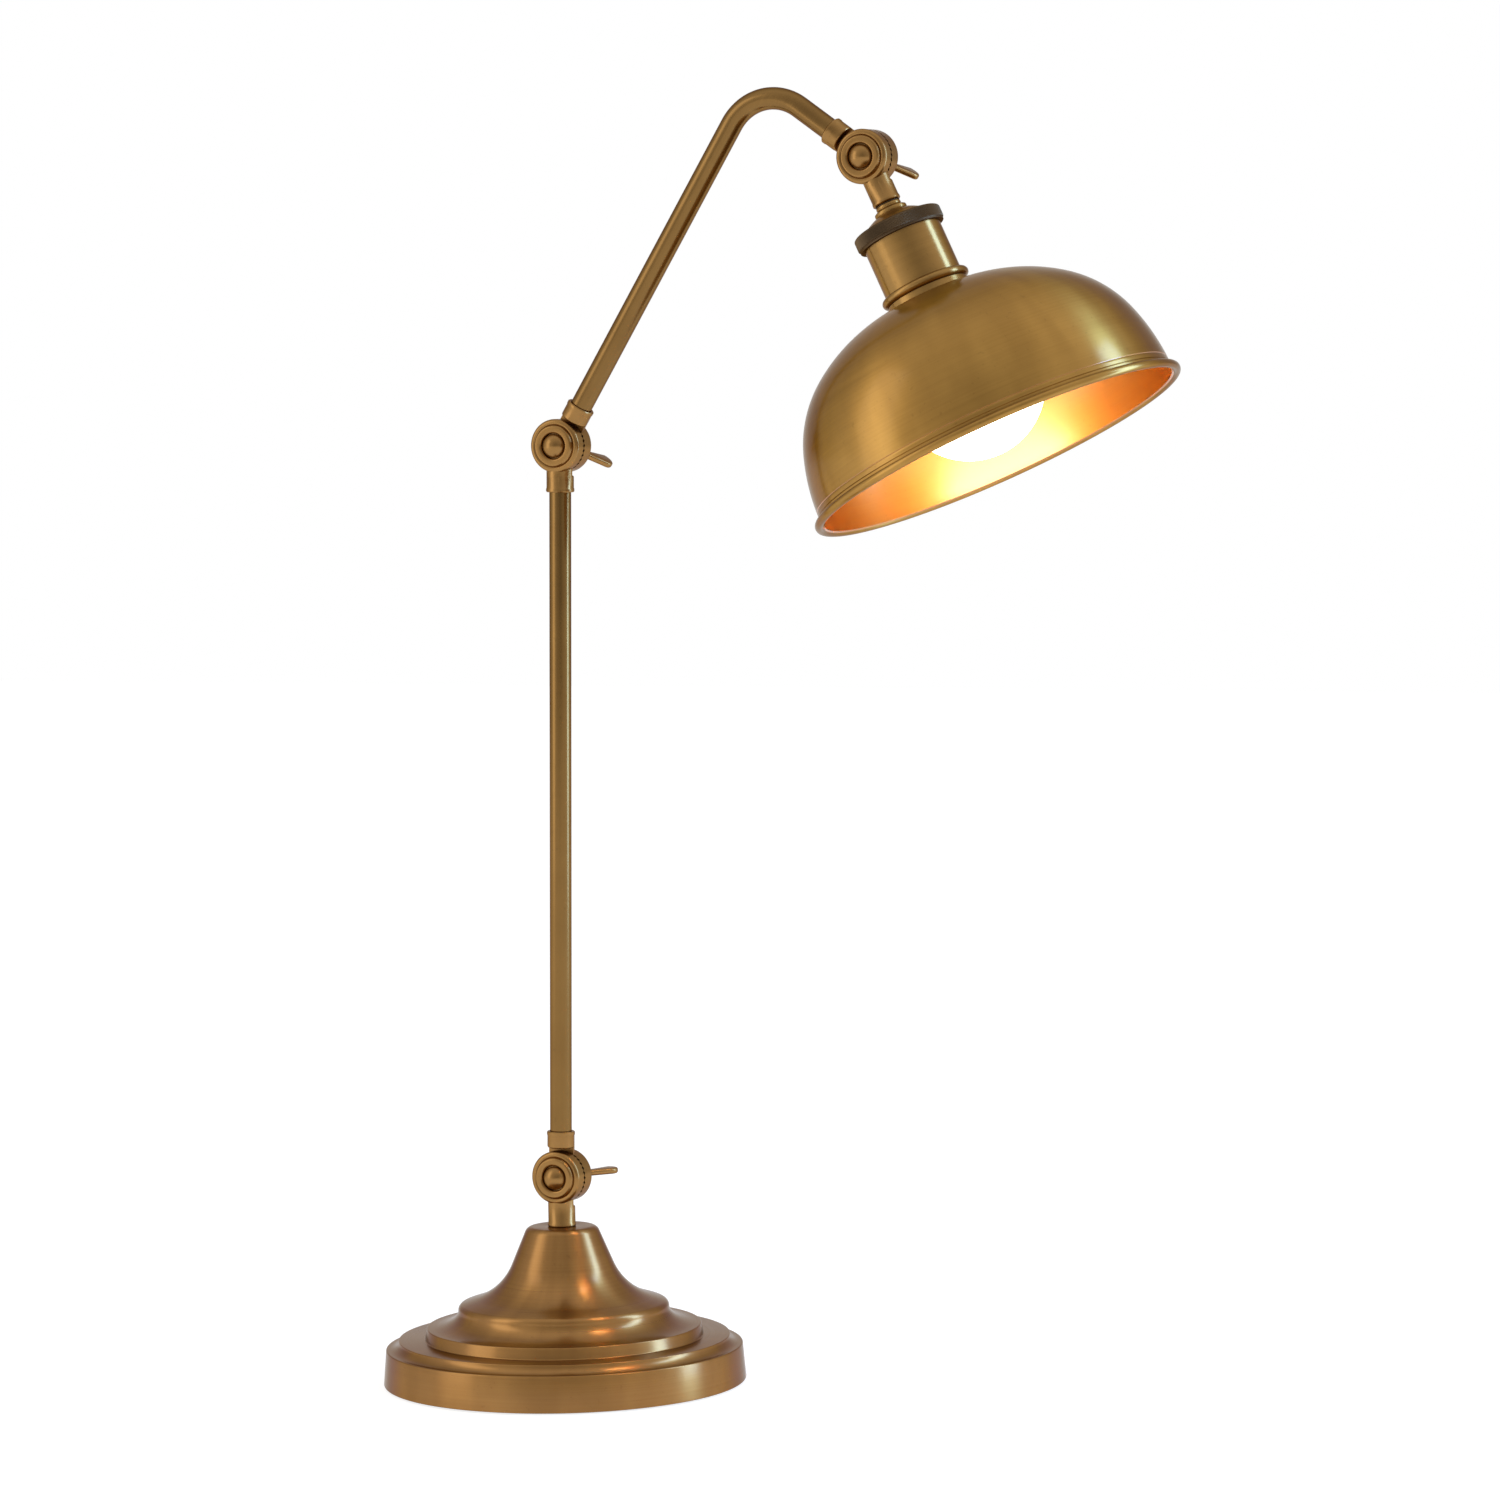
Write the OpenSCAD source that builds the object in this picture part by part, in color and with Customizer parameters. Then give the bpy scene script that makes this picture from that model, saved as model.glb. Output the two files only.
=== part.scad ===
// Desk lamp with a spun dome shade, a bent arm and three toothed knuckles.
// Millimetres. +X is the arm's reach, -Y the side of the bolt heads, +Z up.
// The origin is the centre of the base's underside.

/* [Pose] */
// Lean of the post away from upright, towards the reach, degrees
post_lean = 1.3; // [-20:0.1:20]
// Angle of the arm's lower stretch from upright, degrees
arm_angle = 32.2; // [20:0.1:45]
// Tilt of the shade's axis from plumb, degrees
head_tilt = 25.1; // [5:0.1:40]
// Turn of the elbow's wing nut below the reach, degrees
elbow_wing_turn = 37; // [0:1:90]
// Turn of the head's wing nut below the reach, degrees
head_wing_turn = 33; // [0:1:90]

/* [Base] */
// Diameter of the base at the table
base_d = 200; // [185:1:230]
// Height of the base shell's flat top
base_h = 86.3; // [80:0.1:100]
// Thickness of the spun brass of the base
base_wall = 1.2; // [0.8:0.1:1.6]
// Gap under the shell's lower edge
shell_lift = 0.6; // [0.3:0.1:1]
// How far the outer wall leans in
wall_taper = 1.6; // [0.5:0.1:3]
// Height of the outer wall's top edge
wall_top_h = 20.3; // [18:0.1:22]
// Width of the flat ledge at the outer wall's top
outer_ledge_w = 1.5; // [1.3:0.1:2.5]
// Width of the lower step's hollow flank
lower_step_w = 5.5; // [4:0.1:7]
// Rise of the lower step
lower_step_h = 4.8; // [3:0.1:6]
// Width of the flat ledge between the two steps
middle_ledge_w = 14.6; // [12:0.1:18]
// How far the upper step's flank leans in
upper_step_w = 1.1; // [0.5:0.1:2]
// Rise of the upper step
upper_step_h = 6.4; // [4:0.1:8]
// Width of the cove inside the upper step
cove_w = 17.5; // [14:0.1:21]
// Radius of the shoulder's rounded edge
shoulder_r = 3.5; // [2:0.1:5]
// Slope of the shoulder, degrees
shoulder_slope = 18; // [12:1:24]
// Radius of the bell's hollow flare
bell_flare_r = 34; // [28:1:38]
// Length of the bell's straight flank
bell_flank = 19.6; // [16:0.1:24]
// Slope of the bell's straight flank, degrees
bell_slope = 67; // [60:1:72]
// Radius of the bell's rounded top edge
bell_edge_r = 4.5; // [3:0.1:6]
// Radius of the bell's flat top
bell_top_r = 16.3; // [14:0.1:19]

/* [Base fillings] */
// Thickness of the felt
felt_t = 1.5; // [1:0.1:2]
// Thickness of the steel base plate
plate_t = 1; // [0.8:0.1:1.5]
// Thickness of the cast weight's disc
weight_t = 10; // [9:0.1:11]
// Diameter of the weight's centre boss
boss_d = 40; // [36:1:46]
// Height of the weight's centre boss above its disc
boss_h = 9.5; // [8:0.1:12]
// Width of the weight's upstanding rim
weight_rim_w = 10; // [6:0.5:12]
// Depth of the centre pocket's ceiling above the weight's underside
pocket_h = 13.5; // [12.5:0.1:15]
// Diameter of the centre pocket
pocket_d = 26; // [24:0.5:30]
// Length of the terminal block
block_l = 24; // [20:1:28]
// Width of the terminal block
block_w = 18; // [14:1:22]
// Height of the terminal block
block_h = 7; // [6:0.1:7.5]
// Distance of the terminal block's centre from the lamp's axis
block_x = 50; // [42:1:54]
// Distance of the cord clamp from the lamp's axis
clamp_x = 74; // [70:1:78]
// Thickness of the cord clamp
clamp_t = 1.6; // [1.2:0.1:1.8]
// Length of the cord clamp
clamp_l = 22; // [20:1:26]
// Width of the cord clamp
clamp_w = 8; // [6:1:10]
// Diameter of the plate screws
plate_screw_d = 4; // [3:0.5:5]
// Distance of the plate screws from the axis
plate_screw_x = 70; // [60:1:74]
// Diameter of the clamp screws
clamp_screw_d = 3; // [2.5:0.5:3]

/* [Cord inlet] */
// Diameter of the mains cord that the inlet takes
cord_d = 6.2; // [5.5:0.1:7]
// Diameter of the hole in the base shell
inlet_d = 9; // [8.5:0.1:10]
// Height of the inlet's centre above the table
inlet_h = 7.9; // [7.8:0.1:8.2]
// Diameter of the grommet's outer flange
grommet_d = 13; // [12:0.1:14]
// How far the grommet stands out of the shell
grommet_out = 2; // [1:0.1:3]
// How far the grommet reaches inside the shell
grommet_in = 1.6; // [1:0.1:2]

/* [Post and arm] */
// Outside diameter of post and arm
tube_d = 12; // [11.6:0.1:12.6]
// Wall of the tubes
tube_wall = 1; // [0.8:0.1:1.2]
// Distance between the base knuckle's and the elbow's axes
post_len = 402; // [340:1:460]
// Length from the elbow's axis to the arm's corner
arm_run = 231; // [190:1:270]
// Length from the arm's corner to the head knuckle's axis
arm_drop = 77; // [68:1:95]
// Turn of the arm's bend, degrees
arm_bend = 93.5; // [80:0.5:100]
// Radius of the arm's bend, at the middle of the tube
bend_r = 28; // [22:1:34]

/* [Knuckles] */
// Diameter of the knuckles
knuckle_d = 29.2; // [27:0.1:32]
// Thickness of a front half
front_t = 7.9; // [7:0.1:8.5]
// Thickness of a back half
back_t = 9.8; // [8:0.1:10.5]
// Gap between the tips of facing teeth
tooth_gap = 0.3; // [0.2:0.05:0.5]
// Number of teeth
tooth_count = 34; // [24:1:36]
// Depth of the notches between the teeth
tooth_h = 1.05; // [0.6:0.05:1.3]
// Width of the notches between the teeth
notch_w = 1.4; // [0.8:0.05:1.45]
// Diameter of the raised ring on a front half
face_ring_d = 18.8; // [17.5:0.1:20]
// Thickness of that raised ring
face_ring_t = 3.8; // [3:0.1:4.4]
// Depth of the bolt head's seat below the front face
seat_depth = 0.4; // [0.2:0.1:0.8]
// Outside diameter of collars and stems
collar_d = 15; // [14.6:0.1:16]
// Distance from the knuckle's axis to a collar's end
collar_reach = 25.3; // [24:0.1:28]
// Distance from the base and head knuckles' axes to the ends of their stems
stem_reach = 27.4; // [26:0.1:32]
// Gap between a knuckle's edge and the facing collar
collar_gap = 1.5; // [1:0.1:2.8]
// Depth of a tube or rod in its collar
socket_depth = 7; // [5:0.1:7.5]
// Inner diameter of the wire chamber, round the bolt
chamber_in_d = 8.8; // [8.2:0.1:9.4]
// Outer diameter of the wire chamber
chamber_out_d = 17.2; // [16.4:0.1:18]
// Depth of the wire chamber in each half
chamber_h = 4.8; // [4.5:0.1:5.2]

/* [Bolts and wing nuts] */
// Diameter of the knuckle bolts
bolt_d = 6; // [5:0.5:6]
// Diameter of a bolt's domed head
bolt_head_d = 13; // [12:0.1:14]
// Height of the straight edge of the head
bolt_head_edge = 1; // [0.5:0.1:1.5]
// Height of the dome on the head
bolt_head_dome = 4; // [3:0.1:5]
// Length of bolt past the wing nut
bolt_tail = 1.8; // [1.2:0.1:3]
// Outside diameter of the washers
washer_d = 14; // [12:0.5:16]
// Thickness of the washers
washer_t = 1.2; // [0.8:0.1:1.6]
// Diameter of a wing nut's foot
wing_foot_d = 13; // [12:0.5:15]
// Diameter of a wing nut's barrel at its back
wing_top_d = 10.4; // [9.5:0.1:11]
// Length of a wing nut's barrel
wing_hub_h = 8.5; // [7.5:0.1:10]
// Span over the two wings
wing_span = 40; // [36:0.5:42]
// Height of the wings from the nut's foot
wing_h = 23; // [20:0.1:25]
// Diameter of a wing's round end
wing_lobe_d = 10.5; // [9:0.1:12]
// Thickness of the wings
wing_t = 3.2; // [2.4:0.1:3.8]

/* [Rods and nuts] */
// Outside diameter of the hollow threaded rods
rod_d = 10; // [9.5:0.1:10]
// Bore of the hollow threaded rods
rod_bore_d = 6.6; // [6.2:0.1:7]
// Width over the flats of the rod nuts
rod_nut_af = 14; // [13:0.5:15]
// Thickness of the nut under the weight
rod_nut_h = 4; // [3:0.1:4.5]
// Diameter of the washer under the weight
rod_washer_d = 22; // [20:0.5:23]
// Thickness of the washer under the weight
rod_washer_t = 1.4; // [1:0.1:1.6]
// Width over the flats of the nut inside the lampholder cap
cap_nut_af = 12.5; // [12:0.1:12.7]
// Thickness of the nut inside the lampholder cap
cap_nut_h = 3; // [2.5:0.1:3.5]

/* [Lampholder] */
// Diameter of the ring between stem and cap
neck_ring_d = 12.8; // [12:0.1:13.4]
// Thickness of that ring
neck_ring_t = 0.8; // [0.6:0.1:1.5]
// Diameter of the cap's boss at its top
cap_neck_d = 13.2; // [12.8:0.1:15]
// Diameter of the cap's boss at its foot
cap_boss_d = 19; // [17:0.1:21]
// Height of that boss
cap_boss_h = 5.3; // [4:0.1:6]
// Radius of the cap's domed shoulder
cap_dome_r = 40.5; // [36:0.5:46]
// Slope of the cap's shoulder where it ends, degrees
cap_dome_slope = 41; // [37:1:43]
// Diameter of the cap's skirt
cap_d = 41.8; // [41:0.1:42.2]
// Height of the cap
cap_h = 14.9; // [14.5:0.1:17]
// Wall of the cap
cap_wall = 1.3; // [1:0.1:1.6]
// Diameter of the knurled ring
ring_d = 49; // [47:0.1:51]
// Height of the knurled ring
ring_h = 8.1; // [7.6:0.1:10]
// How far the knurled ring overlaps the cap's skirt
ring_overlap = 3.9; // [3.6:0.1:4.2]
// Bevel on the knurled ring's edges
ring_bevel = 1.3; // [0.8:0.1:1.6]
// Number of ridges in the knurl
knurl_count = 90; // [60:1:120]
// Depth of the knurl
knurl_depth = 0.3; // [0.2:0.05:0.4]
// Diameter of the lampholder's shell
shell_d = 42.9; // [42.6:0.1:43.4]
// Wall of the lampholder's shell
shell_wall = 1; // [0.8:0.1:1.2]
// Visible length of the shell, below the knurled ring
shell_visible = 27.7; // [24:0.1:32]
// Width of the shell's top flange
shell_flange_w = 1.3; // [1:0.1:1.4]
// Diameter of the core's threaded skirt
skirt_d = 38; // [37.6:0.1:38.2]
// Wall of the core's threaded skirt
skirt_wall = 1.5; // [1.2:0.1:1.8]
// Length of the skirt below the shell
skirt_len = 16; // [14.5:0.1:18]
// Thickness of the core above the socket
core_head = 8; // [7:0.1:9]
// Inside diameter of the screw shell
screw_shell_d = 26.6; // [26.6:0.1:27.4]
// Length of the screw shell
screw_shell_len = 22; // [18:0.1:24]
// Thickness of the screw shell
screw_shell_t = 0.6; // [0.5:0.1:0.8]

/* [Shade] */
// Diameter of the shade over its rolled rim
shade_d = 209.6; // [190:0.1:230]
// Diameter of the rolled rim's bead
rim_bead_d = 4.6; // [4:0.1:5.4]
// Overlap of the bead with the skirt's wall
rim_bead_lap = 0.6; // [0.4:0.1:0.8]
// Thickness of the spun brass of the shade
shade_wall = 1; // [0.8:0.1:1.2]
// Straight length of the shade above its bead
shade_skirt_h = 4; // [3:0.1:6]
// Radius of the shade's side
side_r = 112; // [100:1:130]
// Radius of the shade's shoulder
shade_shoulder_r = 65; // [60:1:70]
// Radius of the shade's crown
crown_r = 92; // [84:1:100]
// Slope of the side at the skirt, degrees
side_slope = 89; // [87:0.5:89.5]
// Slope where side and shoulder meet, degrees
side_break = 71.4; // [66:0.1:76]
// Slope where shoulder and crown meet, degrees
crown_break = 37.6; // [34:0.1:41]
// Height of the collar between shell and shade
collar_h = 8.6; // [7.4:0.1:9.6]
// Diameter of the collar's bead
collar_bead_d = 49.2; // [48:0.1:51]
// Height of the collar's bead
collar_bead_h = 4.7; // [4:0.1:5.5]
// Diameter of the collar below its bead
collar_neck_d = 45; // [44:0.1:46]
// Diameter of the ring that holds the shade
shade_ring_d = 52; // [48:0.5:56]
// Height of the ring that holds the shade
shade_ring_h = 5; // [4:0.1:6]

/* [Bulb] */
// Diameter of the bulb's globe
bulb_d = 80; // [70:1:90]
// Length of the bulb from contact to tip
bulb_len = 117.3; // [110:0.1:126]
// Diameter of the bulb's cap
bulb_cap_d = 26.4; // [26:0.1:26.6]
// Length of the bulb's cap
bulb_cap_len = 22.5; // [21:0.1:24]
// Wall of the bulb's glass
glass_wall = 0.9; // [0.7:0.1:1.2]

/* [Wiring] */
// Diameter of the twisted leads inside the lamp
lead_d = 3; // [2.6:0.1:3.2]
// Distance of the leads from the plane of the teeth, in the knuckles
lead_offset = 3; // [2.9:0.1:3.1]
// Radius of the lead's bend under the base rod
lead_bend_r = 5; // [4.5:0.1:6]

/* [Fits] */
// Clearance round a tube, rod or screw in its hole
fit = 0.05; // [0.03:0.01:0.08]
// Clearance between a washer or wing nut and what it presses on
face_gap = 0.08; // [0.05:0.01:0.15]
// Clearance round a lead in its channel
lead_fit = 0.4; // [0.3:0.05:0.45]

/* [Hidden] */

$fn = 64;

// Colours
brass = [0.60, 0.43, 0.20];
dark_brass = [0.30, 0.24, 0.17];
bright_brass = [0.78, 0.62, 0.34];
steel = [0.62, 0.63, 0.65];
iron = [0.22, 0.22, 0.23];
felt_green = [0.16, 0.26, 0.18];
black_rubber = [0.08, 0.08, 0.08];
ivory = [0.88, 0.86, 0.78];
lead_colour = [0.35, 0.24, 0.12];
opal = [1.0, 0.96, 0.86];

// Pivots: base knuckle, elbow and head knuckle
tube_r = tube_d / 2;
knuckle_r = knuckle_d / 2;
tooth_plane = tooth_gap / 2;
arm_end_angle = arm_angle + arm_bend;
base_pivot = [0, 0, base_h + stem_reach];
elbow_pivot = base_pivot + post_len * heading(post_lean);
arm_corner = elbow_pivot + arm_run * heading(arm_angle);
head_pivot = arm_corner + arm_drop * heading(arm_end_angle);
bend_tangent = bend_r * tan(arm_bend / 2);

// Knuckle
collar_cut = knuckle_r + collar_gap;
socket_end = collar_reach - socket_depth;
stem_socket_end = socket_end;
lead_end = chamber_out_d / 2 - lead_d / 2;
lead_bend_start = collar_reach - 1.3;
lead_bend_end = socket_end - 4.3;
washer_y = back_t + face_gap;
wing_y = washer_y + washer_t + face_gap;
bolt_hole_r = bolt_d / 2 + fit;
head_seat_y = front_t - seat_depth;

// Base: the shell's outline from the centre hole outwards
weight_z = felt_t + plate_t;
base_r = base_d / 2;
wall_top_r = base_r - wall_taper;
lower_foot_r = wall_top_r - outer_ledge_w;
lower_ridge_r = lower_foot_r - lower_step_w;
lower_ridge_z = wall_top_h + lower_step_h;
upper_foot_r = lower_ridge_r - middle_ledge_w;
upper_ridge_r = upper_foot_r - upper_step_w;
upper_ridge_z = lower_ridge_z + upper_step_h;
shoulder_edge_r = upper_ridge_r - cove_w;
bell_edge = arc([bell_top_r, base_h - bell_edge_r], bell_edge_r, 90, 90 - bell_slope, 6);
bell_edge_end = bell_edge[len(bell_edge) - 1];
flare_start = bell_edge_end + bell_flank * [cos(bell_slope), -sin(bell_slope)];
flare_centre = flare_start + bell_flare_r * [sin(bell_slope), cos(bell_slope)];
bell_flare = arc(flare_centre, bell_flare_r, 270 - bell_slope, 270 - shoulder_slope, 12);
flare_end = bell_flare[len(bell_flare) - 1];
shoulder_centre_r = shoulder_edge_r - shoulder_r;
shoulder_top_r = shoulder_centre_r + shoulder_r * sin(shoulder_slope);
shoulder_top_z = flare_end[1] - (shoulder_top_r - flare_end[0]) * tan(shoulder_slope);
shoulder_centre_z = shoulder_top_z - shoulder_r * cos(shoulder_slope);
shoulder = arc([shoulder_centre_r, shoulder_centre_z], shoulder_r, 90 - shoulder_slope, 0, 6);
cove = quarter([upper_ridge_r, shoulder_centre_z],
               [cove_w, shoulder_centre_z - upper_ridge_z], 180, 270, 10);
lower_cove = quarter([lower_foot_r, lower_ridge_z], [lower_step_w, lower_step_h], 180, 270, 5);
base_outline = concat(
    [[rod_d / 2 + fit, base_h]],
    bell_edge, bell_flare, shoulder,
    rest(cove),
    [[upper_foot_r, lower_ridge_z]],
    lower_cove,
    [[wall_top_r, wall_top_h], [base_r, shell_lift]]);
base_inside = inset(base_outline, base_wall);
ledge_underside_z = lower_ridge_z - base_wall;
plate_r = base_r - wall_taper - base_wall - 0.3;
weight_r = plate_r - 2;
rim_out_r = lower_ridge_r - 2 * base_wall;
weight_rim_r = rim_out_r - weight_rim_w;
weight_top_z = weight_z + weight_t;
pocket_z = weight_z + pocket_h;
rod_washer_z = pocket_z - rod_washer_t;
rod_nut_z = rod_washer_z - rod_nut_h;
rod_bottom_z = rod_nut_z - 1;
rod_top_z = base_pivot[2] - stem_socket_end - fit;
channel_z = weight_top_z - 1.6;
block_z = channel_z - block_h;
base_lead_z = block_z + lead_d / 2 + 0.6;
clamp_z = inlet_h - cord_d / 2 - 0.1 - clamp_t;
grommet_reach = base_r + grommet_out;

// Head: drops below the head pivot, along the shade's axis
neck_ring_drop = stem_reach;
cap_drop = neck_ring_drop + neck_ring_t;
cap_skirt_drop = cap_drop + cap_h;
ring_drop = cap_skirt_drop - ring_overlap;
ring_end_drop = ring_drop + ring_h;
flange_drop = cap_skirt_drop + fit;
flange_t = 1.2;
shell_end_drop = ring_end_drop + shell_visible;
lip_t = 1.2;
core_seat_drop = shell_end_drop - lip_t;
core_drop = flange_drop + flange_t + 3.4;
socket_drop = core_drop + core_head;
skirt_end_drop = shell_end_drop + skirt_len;
shell_r = shell_d / 2;
skirt_r = skirt_d / 2;
cap_r = cap_d / 2;
core_r = shell_r - shell_wall - fit;
screw_shell_r = screw_shell_d / 2 + screw_shell_t;
contact_t = 1;
bulb_drop = socket_drop + contact_t;
crown_drop = shell_end_drop + collar_h;
cap_boss_r = cap_boss_d / 2;
cap_dome_start = asin(sin(cap_dome_slope) - (cap_r - cap_boss_r) / cap_dome_r);
cap_dome_top = -cap_drop - cap_boss_h;
cap_dome_centre = [cap_boss_r, cap_dome_top] - cap_dome_r * [sin(cap_dome_start), cos(cap_dome_start)];
cap_dome = concat(
    arc(cap_dome_centre, cap_dome_r, 90 - cap_dome_start, 90 - cap_dome_slope, 8),
    [[cap_r, -cap_skirt_drop]]);
cap_dome_inside = inset(cap_dome, cap_wall);
cap_nut_drop = -cap_dome_inside[0][1];
head_rod_end = cap_nut_drop + cap_nut_h + 1.2;

// Shade: its outline from the hole outwards
rim_centre_r = shade_d / 2 - rim_bead_d / 2;
skirt_bottom_r = rim_centre_r - rim_bead_d / 2 + rim_bead_lap;
side_top_r = skirt_bottom_r - side_r * (sin(side_slope) - sin(side_break));
crown_start_r = side_top_r - shade_shoulder_r * (sin(side_break) - sin(crown_break));
crown_centre_r = crown_start_r - crown_r * sin(crown_break);
shade_hole_r = skirt_r + 0.3;
hole_slope = asin(max(0, (shade_hole_r - crown_centre_r) / crown_r));
crown_centre = [crown_centre_r, -crown_drop - crown_r];
shoulder_centre = crown_centre + (crown_r - shade_shoulder_r) * [sin(crown_break), cos(crown_break)];
side_centre = shoulder_centre - (side_r - shade_shoulder_r) * [sin(side_break), cos(side_break)];
rim_drop = -(side_centre[1] + side_r * cos(side_slope)) + shade_skirt_h;
shade_outline = concat(
    [[shade_hole_r, crown_centre[1] + crown_r * cos(hole_slope)]],
    arc(crown_centre, crown_r, 90 - max(hole_slope, 3), 90 - crown_break, 10),
    rest(arc(shoulder_centre, shade_shoulder_r, 90 - crown_break, 90 - side_break, 12)),
    rest(arc(side_centre, side_r, 90 - side_break, 90 - side_slope, 8)),
    [[skirt_bottom_r, -rim_drop - 0.7]]);
shade_inside = inset(shade_outline, shade_wall);
shade_ring_r = shade_ring_d / 2;
ring_seat_slope = asin((shade_ring_r - crown_centre_r) / (crown_r - shade_wall));
shade_ring_drop = -(crown_centre[1] + (crown_r - shade_wall) * cos(ring_seat_slope)) + fit;

// Bulb
bulb_r = bulb_d / 2;
bulb_centre = -(bulb_drop + bulb_len - bulb_r);
bulb_cap_r = bulb_cap_d / 2;
bulb_contact_h = 0.8;
bulb_insulator_h = 2.2;
bulb_cap_drop = bulb_drop + bulb_contact_h + bulb_insulator_h;
bulb_cap_end = bulb_cap_drop + bulb_cap_len;
neck_slope = 52;
bulb_outline = concat(
    [[bulb_cap_r - 1.4, -(bulb_cap_end - 6)], [bulb_cap_r - 1.4, -bulb_cap_end],
     [bulb_cap_r, -bulb_cap_end - 0.4], [bulb_cap_r + 0.8, -bulb_cap_end - 3]],
    arc([0, bulb_centre], bulb_r, neck_slope, -90, 24));

// ---- Helpers ----

// Direction in the XZ plane at an angle from upright
function heading(angle) = [sin(angle), 0, cos(angle)];

// Points on an arc round centre c
function arc(c, r, a0, a1, steps) =
    [for (i = [0:steps]) let (a = a0 + (a1 - a0) * i / steps) c + r * [cos(a), sin(a)]];

// Points on a quarter of an ellipse round centre c
function quarter(c, half, a0, a1, steps) =
    [for (i = [0:steps]) let (a = a0 + (a1 - a0) * i / steps)
        c + [half[0] * cos(a), half[1] * sin(a)]];

// Normal on the right-hand side of the line from a to b
function side_normal(a, b) = let (d = (b - a) / norm(b - a)) [d[1], -d[0]];

// Mitred normal at point i of a path
function mitre(p, i) =
    i == 0 ? side_normal(p[0], p[1]) :
    i == len(p) - 1 ? side_normal(p[i - 1], p[i]) :
    let (m = side_normal(p[i - 1], p[i]), n = side_normal(p[i], p[i + 1])) (m + n) / (1 + m * n);

// A path moved to its right-hand side by t
function inset(p, t) = [for (i = [0:len(p) - 1]) p[i] + t * mitre(p, i)];

// A path without its first point
function rest(p) = [for (i = [1:len(p) - 1]) p[i]];

function reversed(p) = [for (i = [len(p) - 1:-1:0]) p[i]];

// Solid of revolution with a wall between two paths
module spun(outside, inside) {
    rotate_extrude() polygon(concat(outside, reversed(inside)));
}

// Round bar from p to q
module bar(p, q, r) {
    v = q - p;
    translate(p)
        rotate([0, acos(v[2] / norm(v)), atan2(v[1], v[0])])
            cylinder(r = r, h = norm(v));
}

// Round plate or hole with its top at a drop below the head pivot
module dropped(drop, h, r) {
    translate([0, 0, -drop - h]) cylinder(r = r, h = h);
}

module dropped_ring(drop, h, outer_r, inner_r) {
    difference() {
        dropped(drop, h, outer_r);
        dropped(drop - 1, h + 2, inner_r);
    }
}

module hex_nut(af, h, hole_r) {
    difference() {
        cylinder(r = af / sqrt(3), h = h, $fn = 6);
        translate([0, 0, -1]) cylinder(r = hole_r, h = h + 2);
    }
}

// Frames: children stand in each frame with its own Z along the piece
module in_post() translate(base_pivot) rotate([0, post_lean, 0]) children();
module in_arm() translate(elbow_pivot) rotate([0, arm_angle, 0]) children();
module in_head() translate(head_pivot) rotate([0, -head_tilt, 0]) children();
// From a frame with Z along a knuckle's bolt, outwards to the front or the back
module to_front() rotate([90, 0, 0]) children();
module to_back() rotate([-90, 0, 0]) children();

// ---- Knuckle ----

module disc_outline(t, edge) {
    polygon(concat(
        [[0, tooth_plane], [knuckle_r, tooth_plane]],
        arc([knuckle_r - edge, t - edge], edge, 0, 90, 6),
        [[0, t]]));
}

module front_disc() {
    rotate_extrude() difference() {
        union() {
            disc_outline(front_t, 2);
            translate([face_ring_d / 2, front_t - 0.1]) circle(d = face_ring_t);
        }
        translate([-1, head_seat_y]) square([face_ring_d / 2 - face_ring_t / 2 + 1.6, 10]);
    }
}

module back_disc() {
    rotate_extrude() disc_outline(back_t, 1.6);
}

// Radial notches between the teeth, in the plane z = tooth_plane
module tooth_notches() {
    inner = chamber_out_d / 2 - 0.3;
    notch_l = knuckle_r + collar_gap / 2 - inner;
    over = 0.5;
    half = notch_w / 2 * (1 + over / tooth_h);
    for (i = [0:tooth_count - 1])
        rotate([0, 0, i * 360 / tooth_count])
            translate([inner, 0, tooth_plane]) rotate([90, 0, 90]) linear_extrude(notch_l)
                polygon([[-half, -over], [half, -over], [0, tooth_h]]);
}

module wire_chamber() {
    difference() {
        cylinder(d = chamber_out_d, h = chamber_h + tooth_plane);
        translate([0, 0, -1]) cylinder(d = chamber_in_d, h = chamber_h + 2 + tooth_plane);
    }
}

// One half with its collar along +Z. side is -1 for a front half, 1 for a back half.
// reach is the collar's end, hole_d the tube's or rod's diameter, slanted the lead's way in.
module knuckle_half(side, reach, hole_d, slanted) {
    way = lead_offset * side;
    difference() {
        union() {
            if (side < 0) to_front() front_disc();
            else to_back() back_disc();
            difference() {
                translate([0, 0, 13]) cylinder(d = collar_d, h = reach - 13);
                // room for the other half's disc
                translate([-20, side < 0 ? -tooth_plane : tooth_plane - 40, 0]) cube([40, 40, collar_cut]);
            }
        }
        rotate([-90 * side, 0, 0]) {
            translate([0, 0, -1]) cylinder(r = bolt_hole_r, h = back_t + 2);
            translate([0, 0, -0.01]) wire_chamber();
            tooth_notches();
        }
        translate([0, 0, socket_end]) cylinder(r = hole_d / 2 + fit, h = reach);
        bar([0, way, chamber_out_d / 2 - 1.5],
            [0, way, slanted ? lead_bend_end + 0.5 : socket_end + 1], lead_d / 2 + lead_fit);
        if (slanted)
            bar([0, way, lead_bend_end], [0, 0, lead_bend_start], lead_d / 2 + lead_fit);
    }
}

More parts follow.
